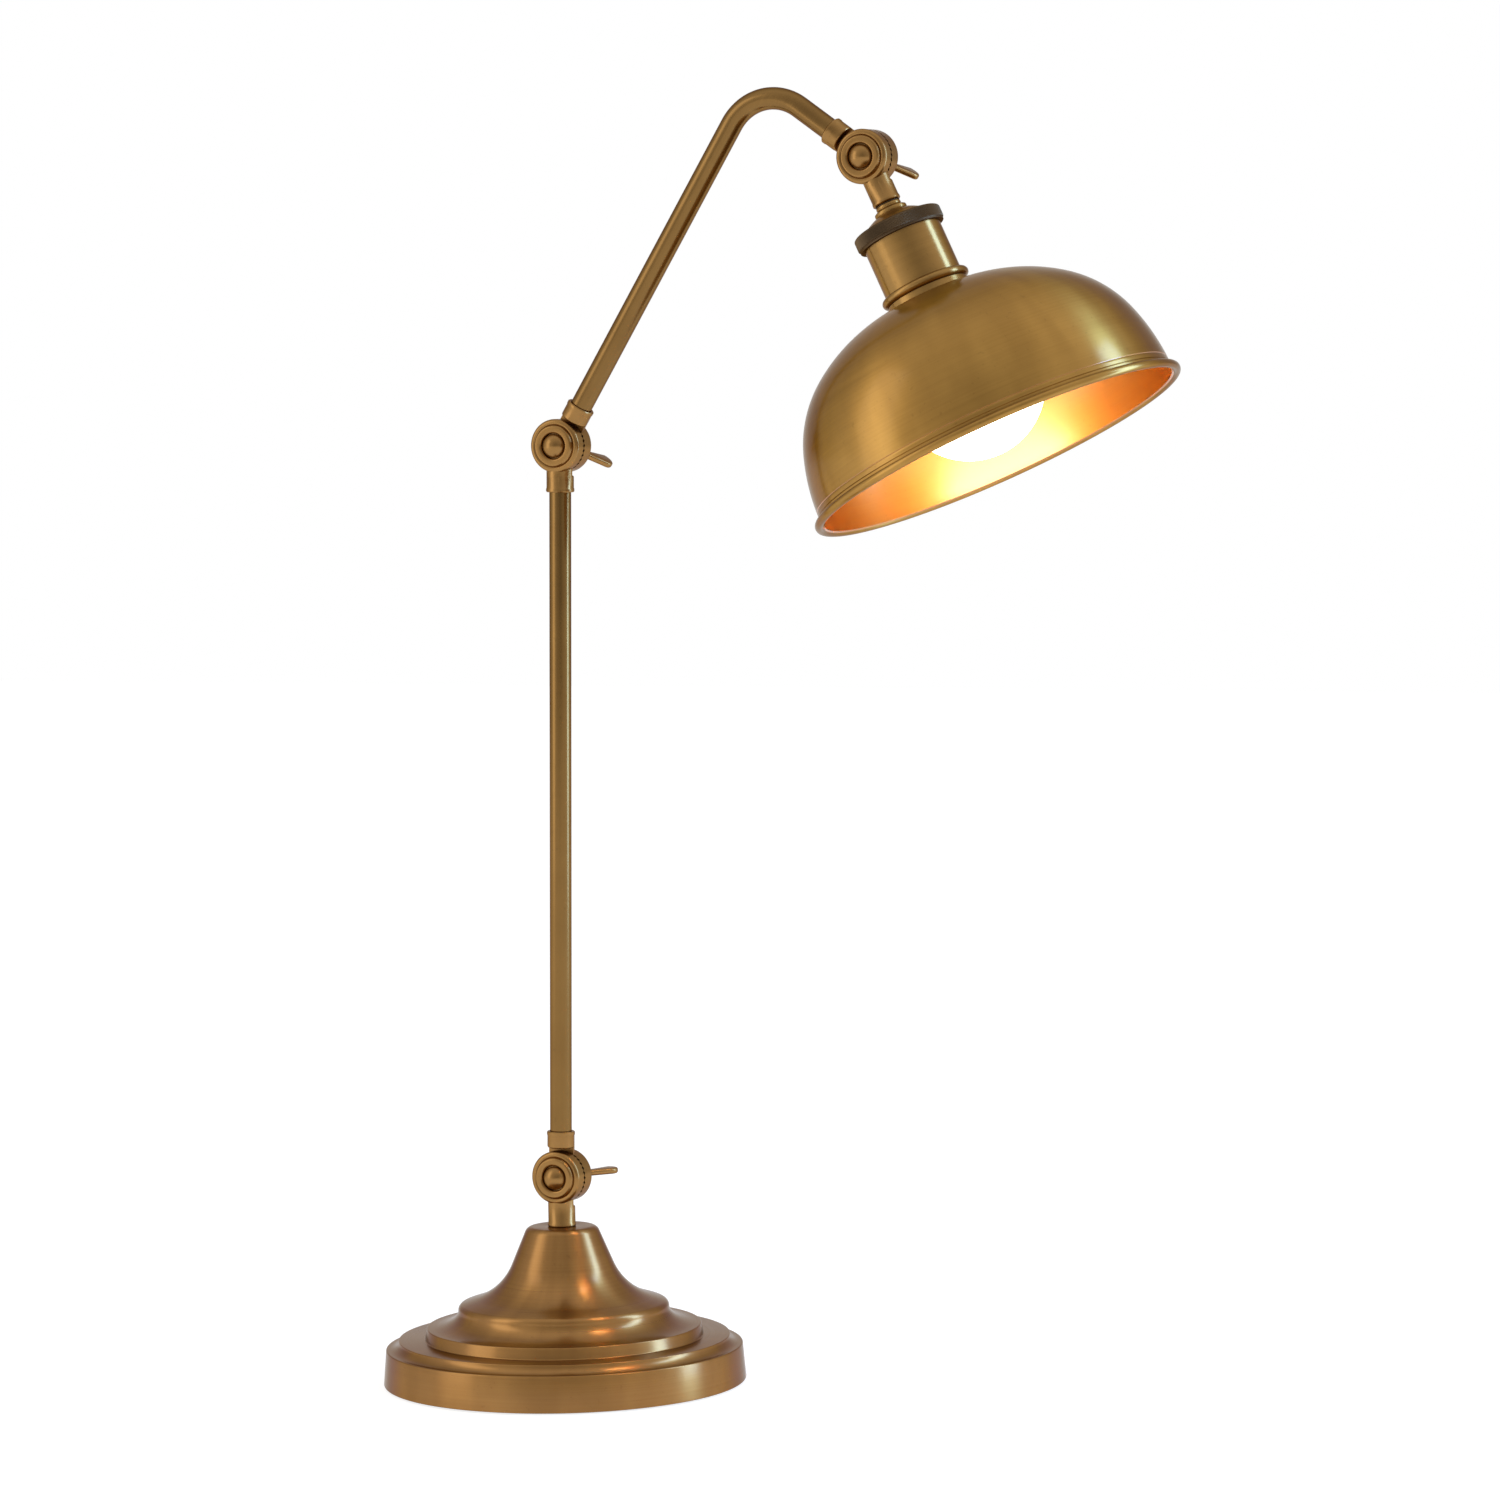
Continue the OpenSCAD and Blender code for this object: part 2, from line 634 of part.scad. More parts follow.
module knuckle_bolt() {
    dome_r = (pow(bolt_head_d / 2, 2) + pow(bolt_head_dome, 2)) / (2 * bolt_head_dome);
    dome_base = head_seat_y + bolt_head_edge;
    tail = wing_y + wing_hub_h + bolt_tail;
    to_front() {
        translate([0, 0, head_seat_y]) cylinder(d = bolt_head_d, h = bolt_head_edge);
        rotate_extrude() intersection() {
            translate([0, dome_base + bolt_head_dome - dome_r]) circle(r = dome_r);
            translate([0, dome_base]) square([bolt_head_d / 2, bolt_head_dome]);
        }
        translate([0, 0, -tail]) cylinder(d = bolt_d, h = tail + head_seat_y + 0.5);
    }
}

module knuckle_washer() {
    to_back() translate([0, 0, washer_y]) difference() {
        cylinder(d = washer_d, h = washer_t);
        translate([0, 0, -1]) cylinder(r = bolt_hole_r, h = washer_t + 2);
    }
}

// One wing in the XZ plane, with the nut's foot at z = 0
module wing_outline() {
    lobe = [wing_span / 2 - wing_lobe_d / 2, wing_h - wing_lobe_d / 2];
    lobe_r = wing_lobe_d / 2;
    foot_r = wing_foot_d / 2;
    polygon([[bolt_d / 2 + 1, 1], [foot_r, 1],
             lobe + lobe_r * [0.8, -0.6] * 0.98, lobe,
             lobe + lobe_r * [-0.8, 0.6] * 0.98,
             [wing_top_d / 2 - 0.4, wing_hub_h - 1], [bolt_d / 2 + 1, wing_hub_h - 1]]);
    translate(lobe) circle(r = lobe_r);
}

module wing_nut(turn) {
    rotate([0, turn, 0]) to_back() translate([0, 0, wing_y]) difference() {
        union() {
            cylinder(d1 = wing_foot_d, d2 = wing_top_d, h = wing_hub_h);
            for (a = [0, 180])
                rotate([0, 0, a]) rotate([90, 0, 0])
                    translate([0, 0, -wing_t / 2]) linear_extrude(wing_t) wing_outline();
        }
        translate([0, 0, -1]) cylinder(r = bolt_hole_r, h = wing_h + 2);
    }
}

// ---- Base ----

module base_shell() color(brass) {
    difference() {
        spun(base_outline, base_inside);
        translate([-base_r, 0, inlet_h]) rotate([0, 90, 0])
            cylinder(d = inlet_d, h = base_r / 2, center = true);
    }
}

module felt_pad() color(felt_green) cylinder(r = plate_r, h = felt_t);

module plate_screw_places() {
    for (a = [0, 120, 240])
        rotate([0, 0, a]) translate([plate_screw_x, 0, felt_t]) children();
}

module countersunk(d, head_h, length) {
    cylinder(d1 = 1.9 * d, d2 = d, h = head_h);
    translate([0, 0, head_h * 0.5]) cylinder(d = d, h = length - head_h * 0.5);
}

module base_plate() color(steel) {
    difference() {
        translate([0, 0, felt_t]) cylinder(r = plate_r, h = plate_t);
        plate_screw_places() cylinder(d1 = 1.9 * plate_screw_d + 0.1, d2 = plate_screw_d + 0.1, h = plate_t);
    }
}

module plate_screws() color(steel) plate_screw_places() countersunk(plate_screw_d, plate_t, 7);

module base_weight() color(iron) {
    difference() {
        union() {
            translate([0, 0, weight_z]) cylinder(r = weight_r, h = weight_t);
            translate([0, 0, weight_top_z - 1]) cylinder(d = boss_d, h = boss_h + 1);
            translate([0, 0, weight_top_z - 1]) difference() {
                cylinder(r = rim_out_r, h = ledge_underside_z - weight_top_z + 1);
                translate([0, 0, -1]) cylinder(r = weight_rim_r, h = 40);
            }
        }
        // pocket for nut and washer, and the rod's hole
        translate([0, 0, weight_z - 1]) cylinder(d = pocket_d, h = pocket_h + 1);
        cylinder(r = rod_d / 2 + fit, h = base_h);
        // way of the lead, pocket of the terminal block, way of the cord
        translate([-block_x, -lead_d / 2 - 1.4, weight_z - 1])
            cube([block_x, lead_d + 2.8, channel_z - weight_z + 1 - 0.6]);
        translate([-block_x - block_l / 2 - 0.3, -block_w / 2 - 0.3, weight_z - 1])
            cube([block_l + 0.6, block_w + 0.6, channel_z - weight_z + 1]);
        translate([-base_r, -cord_d / 2 - 1.2, weight_z - 1])
            cube([base_r - block_x, cord_d + 2.4, inlet_h + cord_d / 2 + 0.3 - weight_z + 1]);
        // inner flange of the grommet
        translate([-base_r, -grommet_d / 2 - 0.5, weight_z - 1])
            cube([base_r - weight_r + 1.5, grommet_d + 1, weight_t]);
        // cord clamp and its screws
        translate([-clamp_x - clamp_w / 2 - 0.3, -clamp_l / 2 - 0.3, weight_z - 1])
            cube([clamp_w + 0.6, clamp_l + 0.6, clamp_z + clamp_t - weight_z + 1]);
        clamp_screw_places() cylinder(r = clamp_screw_d / 2 + fit, h = 6 + fit);
        plate_screw_places() cylinder(r = plate_screw_d / 2 + fit, h = 7 + fit);
    }
}

module clamp_screw_places() {
    for (s = [-1, 1])
        translate([-clamp_x, s * (clamp_l / 2 - 3.4), clamp_z]) children();
}

module cord_clamp() color(steel) {
    difference() {
        translate([-clamp_x - clamp_w / 2, -clamp_l / 2, clamp_z]) cube([clamp_w, clamp_l, clamp_t]);
        clamp_screw_places() translate([0, 0, -0.01])
            cylinder(d1 = 1.9 * clamp_screw_d + 0.1, d2 = clamp_screw_d + 0.1, h = clamp_t + 0.02);
    }
}

module clamp_screws() color(steel) clamp_screw_places() countersunk(clamp_screw_d, clamp_t, 6);

module cord_grommet() color(black_rubber) {
    difference() {
        union() {
            // outer flange, shaped to the shell's outside
            difference() {
                translate([-grommet_reach, 0, inlet_h]) rotate([0, 90, 0])
                    cylinder(d1 = grommet_d - 2, d2 = grommet_d, h = grommet_out + 3);
                rotate_extrude() polygon([[0, 0], [base_r + wall_taper * shell_lift / wall_top_h, 0],
                                          [wall_top_r, wall_top_h], [0, wall_top_h]]);
            }
            translate([-grommet_reach + 1, 0, inlet_h]) rotate([0, 90, 0])
                cylinder(r = inlet_d / 2 - fit, h = grommet_out + 1 + base_wall + wall_taper);
            // inner flange, shaped to the shell's inside
            intersection() {
                translate([-base_r, 0, inlet_h]) rotate([0, 90, 0])
                    cylinder(d = grommet_d - 3, h = base_wall + grommet_in + wall_taper);
                rotate_extrude() polygon([[0, 0],
                    [base_inside[len(base_inside) - 1][0], 0],
                    [base_inside[len(base_inside) - 2][0], wall_top_h], [0, wall_top_h]]);
            }
        }
        translate([-base_r, 0, inlet_h]) rotate([0, 90, 0])
            cylinder(d = cord_d, h = 40, center = true);
    }
}

module terminal_block() color(ivory) {
    difference() {
        translate([-block_x - block_l / 2, -block_w / 2, block_z]) cube([block_l, block_w, block_h]);
        for (y = [-1, 1])
            translate([-block_x, y * block_w / 4, block_z - 1]) cylinder(d = block_w / 5, h = block_h * 0.6);
    }
}

module rod_washer() color(steel) {
    translate([0, 0, rod_washer_z]) difference() {
        cylinder(d = rod_washer_d, h = rod_washer_t);
        translate([0, 0, -1]) cylinder(r = rod_d / 2 + fit, h = rod_washer_t + 2);
    }
}

module rod_nut() color(steel) translate([0, 0, rod_nut_z]) hex_nut(rod_nut_af, rod_nut_h, rod_d / 2 + fit);

module base_rod() color(steel) {
    translate([0, 0, rod_bottom_z]) difference() {
        cylinder(d = rod_d, h = rod_top_z - rod_bottom_z);
        translate([0, 0, -1]) cylinder(d = rod_bore_d, h = base_h + stem_reach);
    }
}

module base_lead() color(lead_colour) {
    r = lead_d / 2;
    kink = [0, 0, base_pivot[2] - lead_bend_start];
    in_half = [0, -lead_offset, base_pivot[2] - lead_bend_end];
    bar([-block_x + block_l / 2, 0, base_lead_z], [-lead_bend_r, 0, base_lead_z], r);
    translate([-lead_bend_r, 0, base_lead_z + lead_bend_r]) rotate([90, 0, 0])
        rotate_extrude(angle = 90, start = 270) translate([lead_bend_r, 0]) circle(r = r);
    bar([0, 0, base_lead_z + lead_bend_r], kink, r);
    translate(kink) sphere(r = r * 1.02);
    bar(kink, in_half, r);
    translate(in_half) sphere(r = r * 1.02);
    bar(in_half, [0, -lead_offset, base_pivot[2] - lead_end], r);
}

module base_knuckle_front() color(brass)
    translate(base_pivot) rotate([0, 180, 0]) knuckle_half(-1, stem_reach, rod_d, true);

module base_knuckle_bolt() color(brass) translate(base_pivot) knuckle_bolt();
module base_knuckle_washer() color(brass) translate(base_pivot) knuckle_washer();
module base_wing_nut() color(brass) translate(base_pivot) wing_nut(0);

// ---- Post ----

module base_knuckle_back() color(brass) in_post() knuckle_half(1, collar_reach, tube_d, false);

module post_tube() color(brass) {
    in_post() translate([0, 0, socket_end + fit]) difference() {
        cylinder(r = tube_r, h = post_len - 2 * (socket_end + fit));
        translate([0, 0, -1]) cylinder(r = tube_r - tube_wall, h = post_len);
    }
}

module elbow_front() color(brass)
    in_post() translate([0, 0, post_len]) rotate([0, 180, 0]) knuckle_half(-1, collar_reach, tube_d, false);

module elbow_bolt() color(brass) translate(elbow_pivot) knuckle_bolt();
module elbow_washer() color(brass) translate(elbow_pivot) knuckle_washer();
module elbow_wing_nut() color(brass) translate(elbow_pivot) wing_nut(elbow_wing_turn);

module post_lead() color(lead_colour)
    in_post() bar([0, lead_offset, lead_end], [0, -lead_offset, post_len - lead_end], lead_d / 2);

// ---- Arm ----

module elbow_back() color(brass) in_arm() knuckle_half(1, collar_reach, tube_d, false);

// The arm's line, from a distance past the elbow to a distance before the head knuckle.
// The bend is a hair thinner, so its ends sit inside the straight stretches.
module arm_sweep(trim, y, outer_r, inner_r) {
    straight = arm_run - bend_tangent;
    lap = 0.05;
    translate([0, y, trim]) tube_stretch(straight - trim + lap, outer_r, inner_r);
    translate([bend_r, y, straight]) mirror([1, 0, 0]) rotate([90, 0, 0])
        rotate_extrude(angle = arm_bend) translate([bend_r, 0]) difference() {
            circle(r = outer_r - 0.01);
            if (inner_r > 0) circle(r = inner_r + 0.01);
        }
    translate([0, y, arm_run]) rotate([0, arm_bend, 0]) translate([0, 0, bend_tangent - lap])
        tube_stretch(arm_drop - bend_tangent - trim + lap, outer_r, inner_r);
}

module tube_stretch(length, outer_r, inner_r) {
    difference() {
        cylinder(r = outer_r, h = length);
        if (inner_r > 0) translate([0, 0, -1]) cylinder(r = inner_r, h = length + 2);
    }
}

module arm_tube() color(brass) in_arm() arm_sweep(socket_end + fit, 0, tube_r, tube_r - tube_wall);

module arm_lead() color(lead_colour) in_arm() arm_sweep(lead_end, lead_offset, lead_d / 2, 0);

module head_knuckle_back() color(brass)
    translate(head_pivot) rotate([0, arm_end_angle - 180, 0]) knuckle_half(1, collar_reach, tube_d, false);

// ---- Head ----

module head_knuckle_front() color(brass)
    in_head() rotate([0, 180, 0]) knuckle_half(-1, stem_reach, rod_d, true);

module head_knuckle_bolt() color(brass) translate(head_pivot) knuckle_bolt();
module head_knuckle_washer() color(brass) translate(head_pivot) knuckle_washer();
module head_wing_nut() color(brass) translate(head_pivot) wing_nut(head_wing_turn);

module head_rod() color(steel) in_head()
    dropped_ring(socket_end + fit, head_rod_end - socket_end - fit, rod_d / 2, rod_bore_d / 2);

module neck_ring() color(dark_brass) in_head()
    dropped_ring(neck_ring_drop, neck_ring_t, neck_ring_d / 2, rod_d / 2 + fit);

module cap_nut() color(steel) in_head()
    translate([0, 0, -cap_nut_drop - cap_nut_h]) hex_nut(cap_nut_af, cap_nut_h, rod_d / 2 + fit);

module lampholder_cap() color(brass) in_head()
    spun(concat([[rod_d / 2 + fit, -cap_drop], [cap_neck_d / 2, -cap_drop]], cap_dome),
         concat([[rod_d / 2 + fit, -cap_nut_drop]], cap_dome_inside));

// Round bar with ridges along it
module knurled_bar(r, h) {
    linear_extrude(h) polygon([for (i = [0:2 * knurl_count - 1])
        let (a = 180 * i / knurl_count, k = i % 2 == 0 ? r : r - knurl_depth) k * [cos(a), sin(a)]]);
}

module knurled_ring() color(dark_brass) {
    r = ring_d / 2;
    b = ring_bevel;
    in_head() difference() {
        intersection() {
            translate([0, 0, -ring_end_drop]) knurled_bar(r, ring_h);
            translate([0, 0, -ring_end_drop]) rotate_extrude()
                polygon([[0, 0], [r - b, 0], [r + 0.1, b + 0.1], [r + 0.1, ring_h - b - 0.1],
                         [r - b, ring_h], [0, ring_h]]);
        }
        dropped(ring_drop - 1, ring_overlap + 1 + fit, cap_r + fit);
        dropped(flange_drop - fit, flange_t + 2 * fit, shell_r + shell_flange_w + fit);
        dropped(flange_drop, ring_h, shell_r + fit);
    }
}

module lampholder_shell() color(brass) {
    in_head() difference() {
        union() {
            dropped(flange_drop, shell_end_drop - flange_drop, shell_r);
            dropped(flange_drop, flange_t, shell_r + shell_flange_w);
        }
        dropped(flange_drop - 1, core_seat_drop - flange_drop + 1, shell_r - shell_wall);
        dropped(flange_drop, shell_end_drop, skirt_r + fit);
    }
}

module lampholder_core() color(ivory) {
    in_head() difference() {
        union() {
            dropped(core_drop, core_seat_drop - core_drop, core_r);
            dropped(core_drop, skirt_end_drop - core_drop, skirt_r);
        }
        dropped(socket_drop, screw_shell_len + 1, screw_shell_r + fit);
        dropped(socket_drop + screw_shell_len, skirt_end_drop, skirt_r - skirt_wall);
        terminal_screw_places() dropped(-1, 5 + fit, 1.5 + fit);
    }
}

module terminal_screw_places() {
    for (s = [-1, 1]) translate([s * 11, 0, -core_drop]) children();
}

module terminal_screws() color(bright_brass) in_head() terminal_screw_places() {
    dropped(-1.6, 1.6, 2.8);
    dropped(-0.5, 4.5, 1.5);
}

module screw_shell() color(bright_brass) in_head()
    dropped_ring(socket_drop + fit, screw_shell_len - fit, screw_shell_r, screw_shell_d / 2);

module centre_contact() color(bright_brass) in_head() dropped(socket_drop, contact_t, 5);

module head_lead() color(lead_colour) {
    r = lead_d / 2;
    kink = [0, 0, -lead_bend_start];
    in_half = [0, -lead_offset, -lead_bend_end];
    in_head() {
        bar([0, -lead_offset, -lead_end], in_half, r);
        translate(in_half) sphere(r = r * 1.02);
        bar(in_half, kink, r);
        translate(kink) sphere(r = r * 1.02);
        bar(kink, [0, 0, -core_drop], r);
    }
}

module shade_collar() color(brass) {
    bead_r = collar_bead_d / 2;
    b = collar_bead_h / 2;
    in_head() translate([0, 0, -shell_end_drop]) rotate_extrude() difference() {
        union() {
            translate([0, -collar_h]) square([collar_neck_d / 2, collar_h]);
            translate([0, -collar_bead_h]) square([bead_r - b, collar_bead_h]);
            translate([bead_r - b, -b]) circle(r = b);
        }
        translate([-1, -collar_h - 1]) square([skirt_r + fit + 1, collar_h + 2]);
    }
}

module shade() color(brass) {
    in_head() union() {
        spun(shade_outline, shade_inside);
        translate([0, 0, -rim_drop]) rotate_extrude() translate([rim_centre_r, 0]) circle(d = rim_bead_d);
    }
}

module shade_ring() color(ivory)
    in_head() dropped_ring(shade_ring_drop, shade_ring_h, shade_ring_r, skirt_r + fit);

// ---- Bulb ----

module bulb_glass() color(opal) {
    in_head() rotate_extrude() intersection() {
        polygon(concat(bulb_outline, reversed(inset(bulb_outline, glass_wall))));
        translate([0, -400]) square([200, 400]);
    }
}

module bulb_cap() color(bright_brass) in_head()
    dropped_ring(bulb_cap_drop, bulb_cap_len, bulb_cap_r, bulb_cap_r - 0.7);

module bulb_contact() color(black_rubber) {
    in_head() {
        dropped(bulb_drop, bulb_contact_h + 0.2, 4);
        translate([0, 0, -bulb_cap_drop]) cylinder(r1 = bulb_cap_r, r2 = 6, h = bulb_insulator_h);
    }
}

base_shell();
base_weight();
base_plate();
plate_screws();
felt_pad();
base_rod();
rod_nut();
rod_washer();
cord_grommet();
cord_clamp();
clamp_screws();
terminal_block();
base_lead();
base_knuckle_front();
base_knuckle_bolt();
base_knuckle_washer();
base_wing_nut();
base_knuckle_back();
post_tube();
elbow_front();
elbow_bolt();
elbow_washer();
elbow_wing_nut();
post_lead();
elbow_back();
arm_tube();
head_knuckle_back();
arm_lead();
head_knuckle_front();
head_knuckle_bolt();
head_knuckle_washer();
head_wing_nut();
head_rod();
neck_ring();
cap_nut();
lampholder_cap();
knurled_ring();
lampholder_shell();
lampholder_core();
screw_shell();
centre_contact();
terminal_screws();
head_lead();
shade_collar();
shade();
shade_ring();
bulb_glass();
bulb_cap();
bulb_contact();
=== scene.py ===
from math import asin, atan2, cos, degrees, hypot, pi, radians, sin, tan

import bmesh
import bpy
from mathutils import Matrix, Vector


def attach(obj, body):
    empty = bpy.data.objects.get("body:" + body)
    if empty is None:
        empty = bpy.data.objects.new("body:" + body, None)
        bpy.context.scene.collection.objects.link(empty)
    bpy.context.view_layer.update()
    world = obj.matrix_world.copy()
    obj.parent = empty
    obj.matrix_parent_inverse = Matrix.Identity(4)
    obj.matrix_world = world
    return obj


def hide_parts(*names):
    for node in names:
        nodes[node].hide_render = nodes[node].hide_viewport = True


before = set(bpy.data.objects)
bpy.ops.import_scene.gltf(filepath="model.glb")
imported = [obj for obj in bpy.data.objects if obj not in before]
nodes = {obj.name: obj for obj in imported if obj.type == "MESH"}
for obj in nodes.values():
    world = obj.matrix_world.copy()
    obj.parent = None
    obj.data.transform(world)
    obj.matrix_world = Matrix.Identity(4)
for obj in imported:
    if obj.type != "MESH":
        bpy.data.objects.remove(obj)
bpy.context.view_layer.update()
mm = 0.001
tiny = 1e-6


# Where things are. Lengths in millimetres, angles in degrees.
pose = {
    "baseTop": 86.3, "stemReach": 27.4, "postLean": 1.3, "postLength": 402,
    "armAngle": 32.2, "armRun": 231, "armDrop": 77, "armBend": 93.5, "bendRadius": 28,
    "headTilt": 25.1, "elbowWing": 37, "headWing": 33,
}


def heading(angle):  # the way that leans from Z towards X
    return Vector((sin(radians(angle)), 0, cos(radians(angle))))


armEnd = pose["armAngle"] + pose["armBend"]
basePivot = Vector((0, 0, pose["baseTop"] + pose["stemReach"]))
elbowPivot = basePivot + pose["postLength"] * heading(pose["postLean"])
armCorner = elbowPivot + pose["armRun"] * heading(pose["armAngle"])
headPivot = armCorner + pose["armDrop"] * heading(armEnd)
pivots = {"base": basePivot, "elbow": elbowPivot, "head": headPivot}


def standAt(pivot, angle):  # a frame at a pivot, in metres, with its Z along a piece
    return Matrix.Translation(pivot * mm) @ Matrix.Rotation(radians(angle), 4, "Y")


def lieAt(pivot, way):  # a frame at a pivot, with its Z along the bolt: way 1 to the front, -1 to the back
    return Matrix.Translation(pivot * mm) @ Matrix.Rotation(radians(90 * way), 4, "X")


postFrame = standAt(basePivot, pose["postLean"])
armFrame = standAt(elbowPivot, pose["armAngle"])
headFrame = standAt(headPivot, -pose["headTilt"])
print("frame and pivots are in place")


# In metres from the base's axis and above the table, in degrees, and the lens in millimetres.
cameraView = {
    "distance": 3.0173, "height": 0.5559, "around": 27.37, "yaw": 2.062, "pitch": 3.962, "roll": -1.091,
    "lens": 132.37, "sensor": 36, "sight": 30,
}


def placeCamera():
    v = cameraView
    around, yaw, pitch, roll = (radians(v[k]) for k in ("around", "yaw", "pitch", "roll"))
    right = Vector((cos(around), sin(around), 0))
    ahead = Vector((-sin(around), cos(around), 0))
    look = (right * sin(yaw) + ahead * cos(yaw)) * cos(pitch) - Vector((0, 0, sin(pitch)))
    side = right * cos(yaw) - ahead * sin(yaw)
    up = side.cross(look)
    rolledSide = side * cos(roll) + up * sin(roll)
    rolledUp = up * cos(roll) - side * sin(roll)
    turn = Matrix((rolledSide, rolledUp, -look)).transposed().to_4x4()
    data = bpy.data.cameras.new("photoView")
    data.lens, data.sensor_width, data.sensor_fit = v["lens"], v["sensor"], "HORIZONTAL"
    data.clip_end = v["sight"]
    camera = bpy.data.objects.new("photoView", data)
    bpy.context.scene.collection.objects.link(camera)
    place = -ahead * v["distance"] + Vector((0, 0, v["height"]))
    camera.matrix_world = Matrix.Translation(place) @ turn
    bpy.context.scene.camera = camera


placeCamera()
bpy.context.scene.view_settings.view_transform = "Standard"


# Places and sizes in metres, power in watts.
softLights = {
    "leftSoft": {"at": (-1.13, -1.09, 0.9), "aim": (0.1, 0, 0.5), "size": (0.8, 1.7),
                 "power": 4.4, "colour": (1.0, 0.97, 0.92)},
    "rightSoft": {"at": (1.46, 0.6, 0.75), "aim": (0.1, 0, 0.4), "size": (0.38, 1.6),
                  "power": 23, "colour": (0.2, 0.45, 1.0)},
}


def hangLights():
    for name, soft in softLights.items():
        data = bpy.data.lights.new(name, "AREA")
        data.shape, data.energy, data.color = "RECTANGLE", soft["power"], soft["colour"]
        data.size, data.size_y = soft["size"]
        lamp = bpy.data.objects.new(name, data)
        bpy.context.scene.collection.objects.link(lamp)
        lamp.location = soft["at"]
        aim = Vector(soft["aim"]) - Vector(soft["at"])
        lamp.rotation_euler = aim.to_track_quat("-Z", "Y").to_euler()


hangLights()


def fill(tree, node, inputs):  # gives a node's sockets their constants, or links from other sockets
    for socket, value in inputs.items():
        if isinstance(value, bpy.types.NodeSocket):
            tree.links.new(value, node.inputs[socket])
        else:
            node.inputs[socket].default_value = value
    return node


def addNode(tree, kind, inputs=None, **settings):  # a shader node with its settings and inputs
    node = tree.nodes.new("ShaderNode" + kind)
    for setting, value in settings.items():
        setattr(node, setting, value)
    return fill(tree, node, inputs or {})


def grey(level):
    return (level, level, level, 1)


def seenRays(tree, paths):  # 1 for the camera's own rays, and for those that metal or glass passes on
    seen = paths.outputs["Is Camera Ray"]
    for kind in ("Is Glossy Ray", "Is Transmission Ray"):
        both = addNode(tree, "Math", {0: seen, 1: paths.outputs[kind]}, operation="ADD", use_clamp=True)
        seen = both.outputs[0]
    return seen


# What metal mirrors goes by the cosine between a ray and the way to the camera: at -1 the white
# backdrop, at 1 the dim room in front. Other surfaces get the diffuse light from all sides.
roomLight = {
    "diffuse": 0.85, "wayToCamera": (0.459, -0.888, 0),
    "mirrored": ((-1, 1.0), (-0.95, 0.94), (-0.86, 0.7), (-0.76, 0.62), (-0.25, 0.85),
                 (0.05, 0.97), (0.35, 0.88), (0.85, 0.55), (1, 0.34)),
}


def mirroredLevel(tree):  # the curve through the mirrored levels, read by a ray's own direction
    ray = addNode(tree, "TexCoord").outputs["Generated"]
    cosine = addNode(tree, "VectorMath", {0: ray, 1: roomLight["wayToCamera"]}, operation="DOT_PRODUCT")
    share = addNode(tree, "Math", {0: cosine.outputs["Value"], 1: 0.5, 2: 0.5}, operation="MULTIPLY_ADD")
    level = addNode(tree, "FloatCurve", {"Value": share.outputs[0]})
    points = level.mapping.curves[0].points
    spots = [(way / 2 + 0.5, height) for way, height in roomLight["mirrored"]]
    points[0].location, points[-1].location = spots[0], spots[-1]
    for spot in spots[1:-1]:
        points.new(*spot)
    level.mapping.update()
    return level.outputs[0]


def lightRoom():
    world = bpy.data.worlds.new("paleRoom")
    bpy.context.scene.world = world
    world.use_nodes = True
    tree = world.node_tree
    tree.nodes.clear()
    paths = addNode(tree, "LightPath")
    strength = addNode(tree, "Mix", {"Factor": paths.outputs["Is Glossy Ray"], 2: 1, 3: mirroredLevel(tree)})
    seen = addNode(tree, "Background", {"Color": grey(1), "Strength": strength.outputs[0]})
    around = addNode(tree, "Background", {"Color": grey(1), "Strength": roomLight["diffuse"]})
    mix = addNode(tree, "MixShader", {0: seenRays(tree, paths), 1: around.outputs[0], 2: seen.outputs[0]})
    addNode(tree, "OutputWorld", {"Surface": mix.outputs[0]})


lightRoom()


# The camera sees a bright floor with a faint shadow, straight or mirrored in metal. Other light falls
# on a pale one. Size and drop are in metres.
floorLook = {"size": 12, "drop": 0.0002, "pale": 0.9, "shadowed": 0.35, "glow": 0.78}


def layFloor():
    f = floorLook
    bpy.ops.mesh.primitive_plane_add(size=f["size"], location=(0, 0, -f["drop"]))
    floor = bpy.context.object
    floor.name = "floor"
    finish = bpy.data.materials.new("paleFloor")
    finish.use_nodes = True
    tree = finish.node_tree
    tree.nodes.clear()
    pale = addNode(tree, "BsdfDiffuse", {"Color": grey(f["pale"])})
    shadowed = addNode(tree, "BsdfDiffuse", {"Color": grey(f["shadowed"])})
    glow = addNode(tree, "Emission", {"Color": grey(1), "Strength": f["glow"]})
    seen = addNode(tree, "AddShader", {0: shadowed.outputs[0], 1: glow.outputs[0]})
    rays = seenRays(tree, addNode(tree, "LightPath"))
    mix = addNode(tree, "MixShader", {0: rays, 1: pale.outputs[0], 2: seen.outputs[0]})
    addNode(tree, "OutputMaterial", {"Surface": mix.outputs[0]})
    floor.data.materials.append(finish)


layFloor()
print("camera, lights and floor are in place")


def newFinish(name):
    finish = bpy.data.materials.new(name)
    finish.use_nodes = True
    tree = finish.node_tree
    return finish, tree, tree.nodes["Principled BSDF"]


def coordinates(tree, at):  # object coordinates, and the same as a frame sees them
    place = addNode(tree, "TexCoord").outputs["Object"]
    back = at.inverted()
    turn = addNode(tree, "Mapping", {"Vector": place, "Location": back.to_translation(),
                                     "Rotation": back.to_euler("XYZ")})
    return place, turn.outputs[0]


def vectorNode(tree, operation, *values):
    return addNode(tree, "VectorMath", dict(enumerate(values)), operation=operation)


def product(tree, first, second):
    return addNode(tree, "Math", {0: first, 1: second}, operation="MULTIPLY").outputs[0]


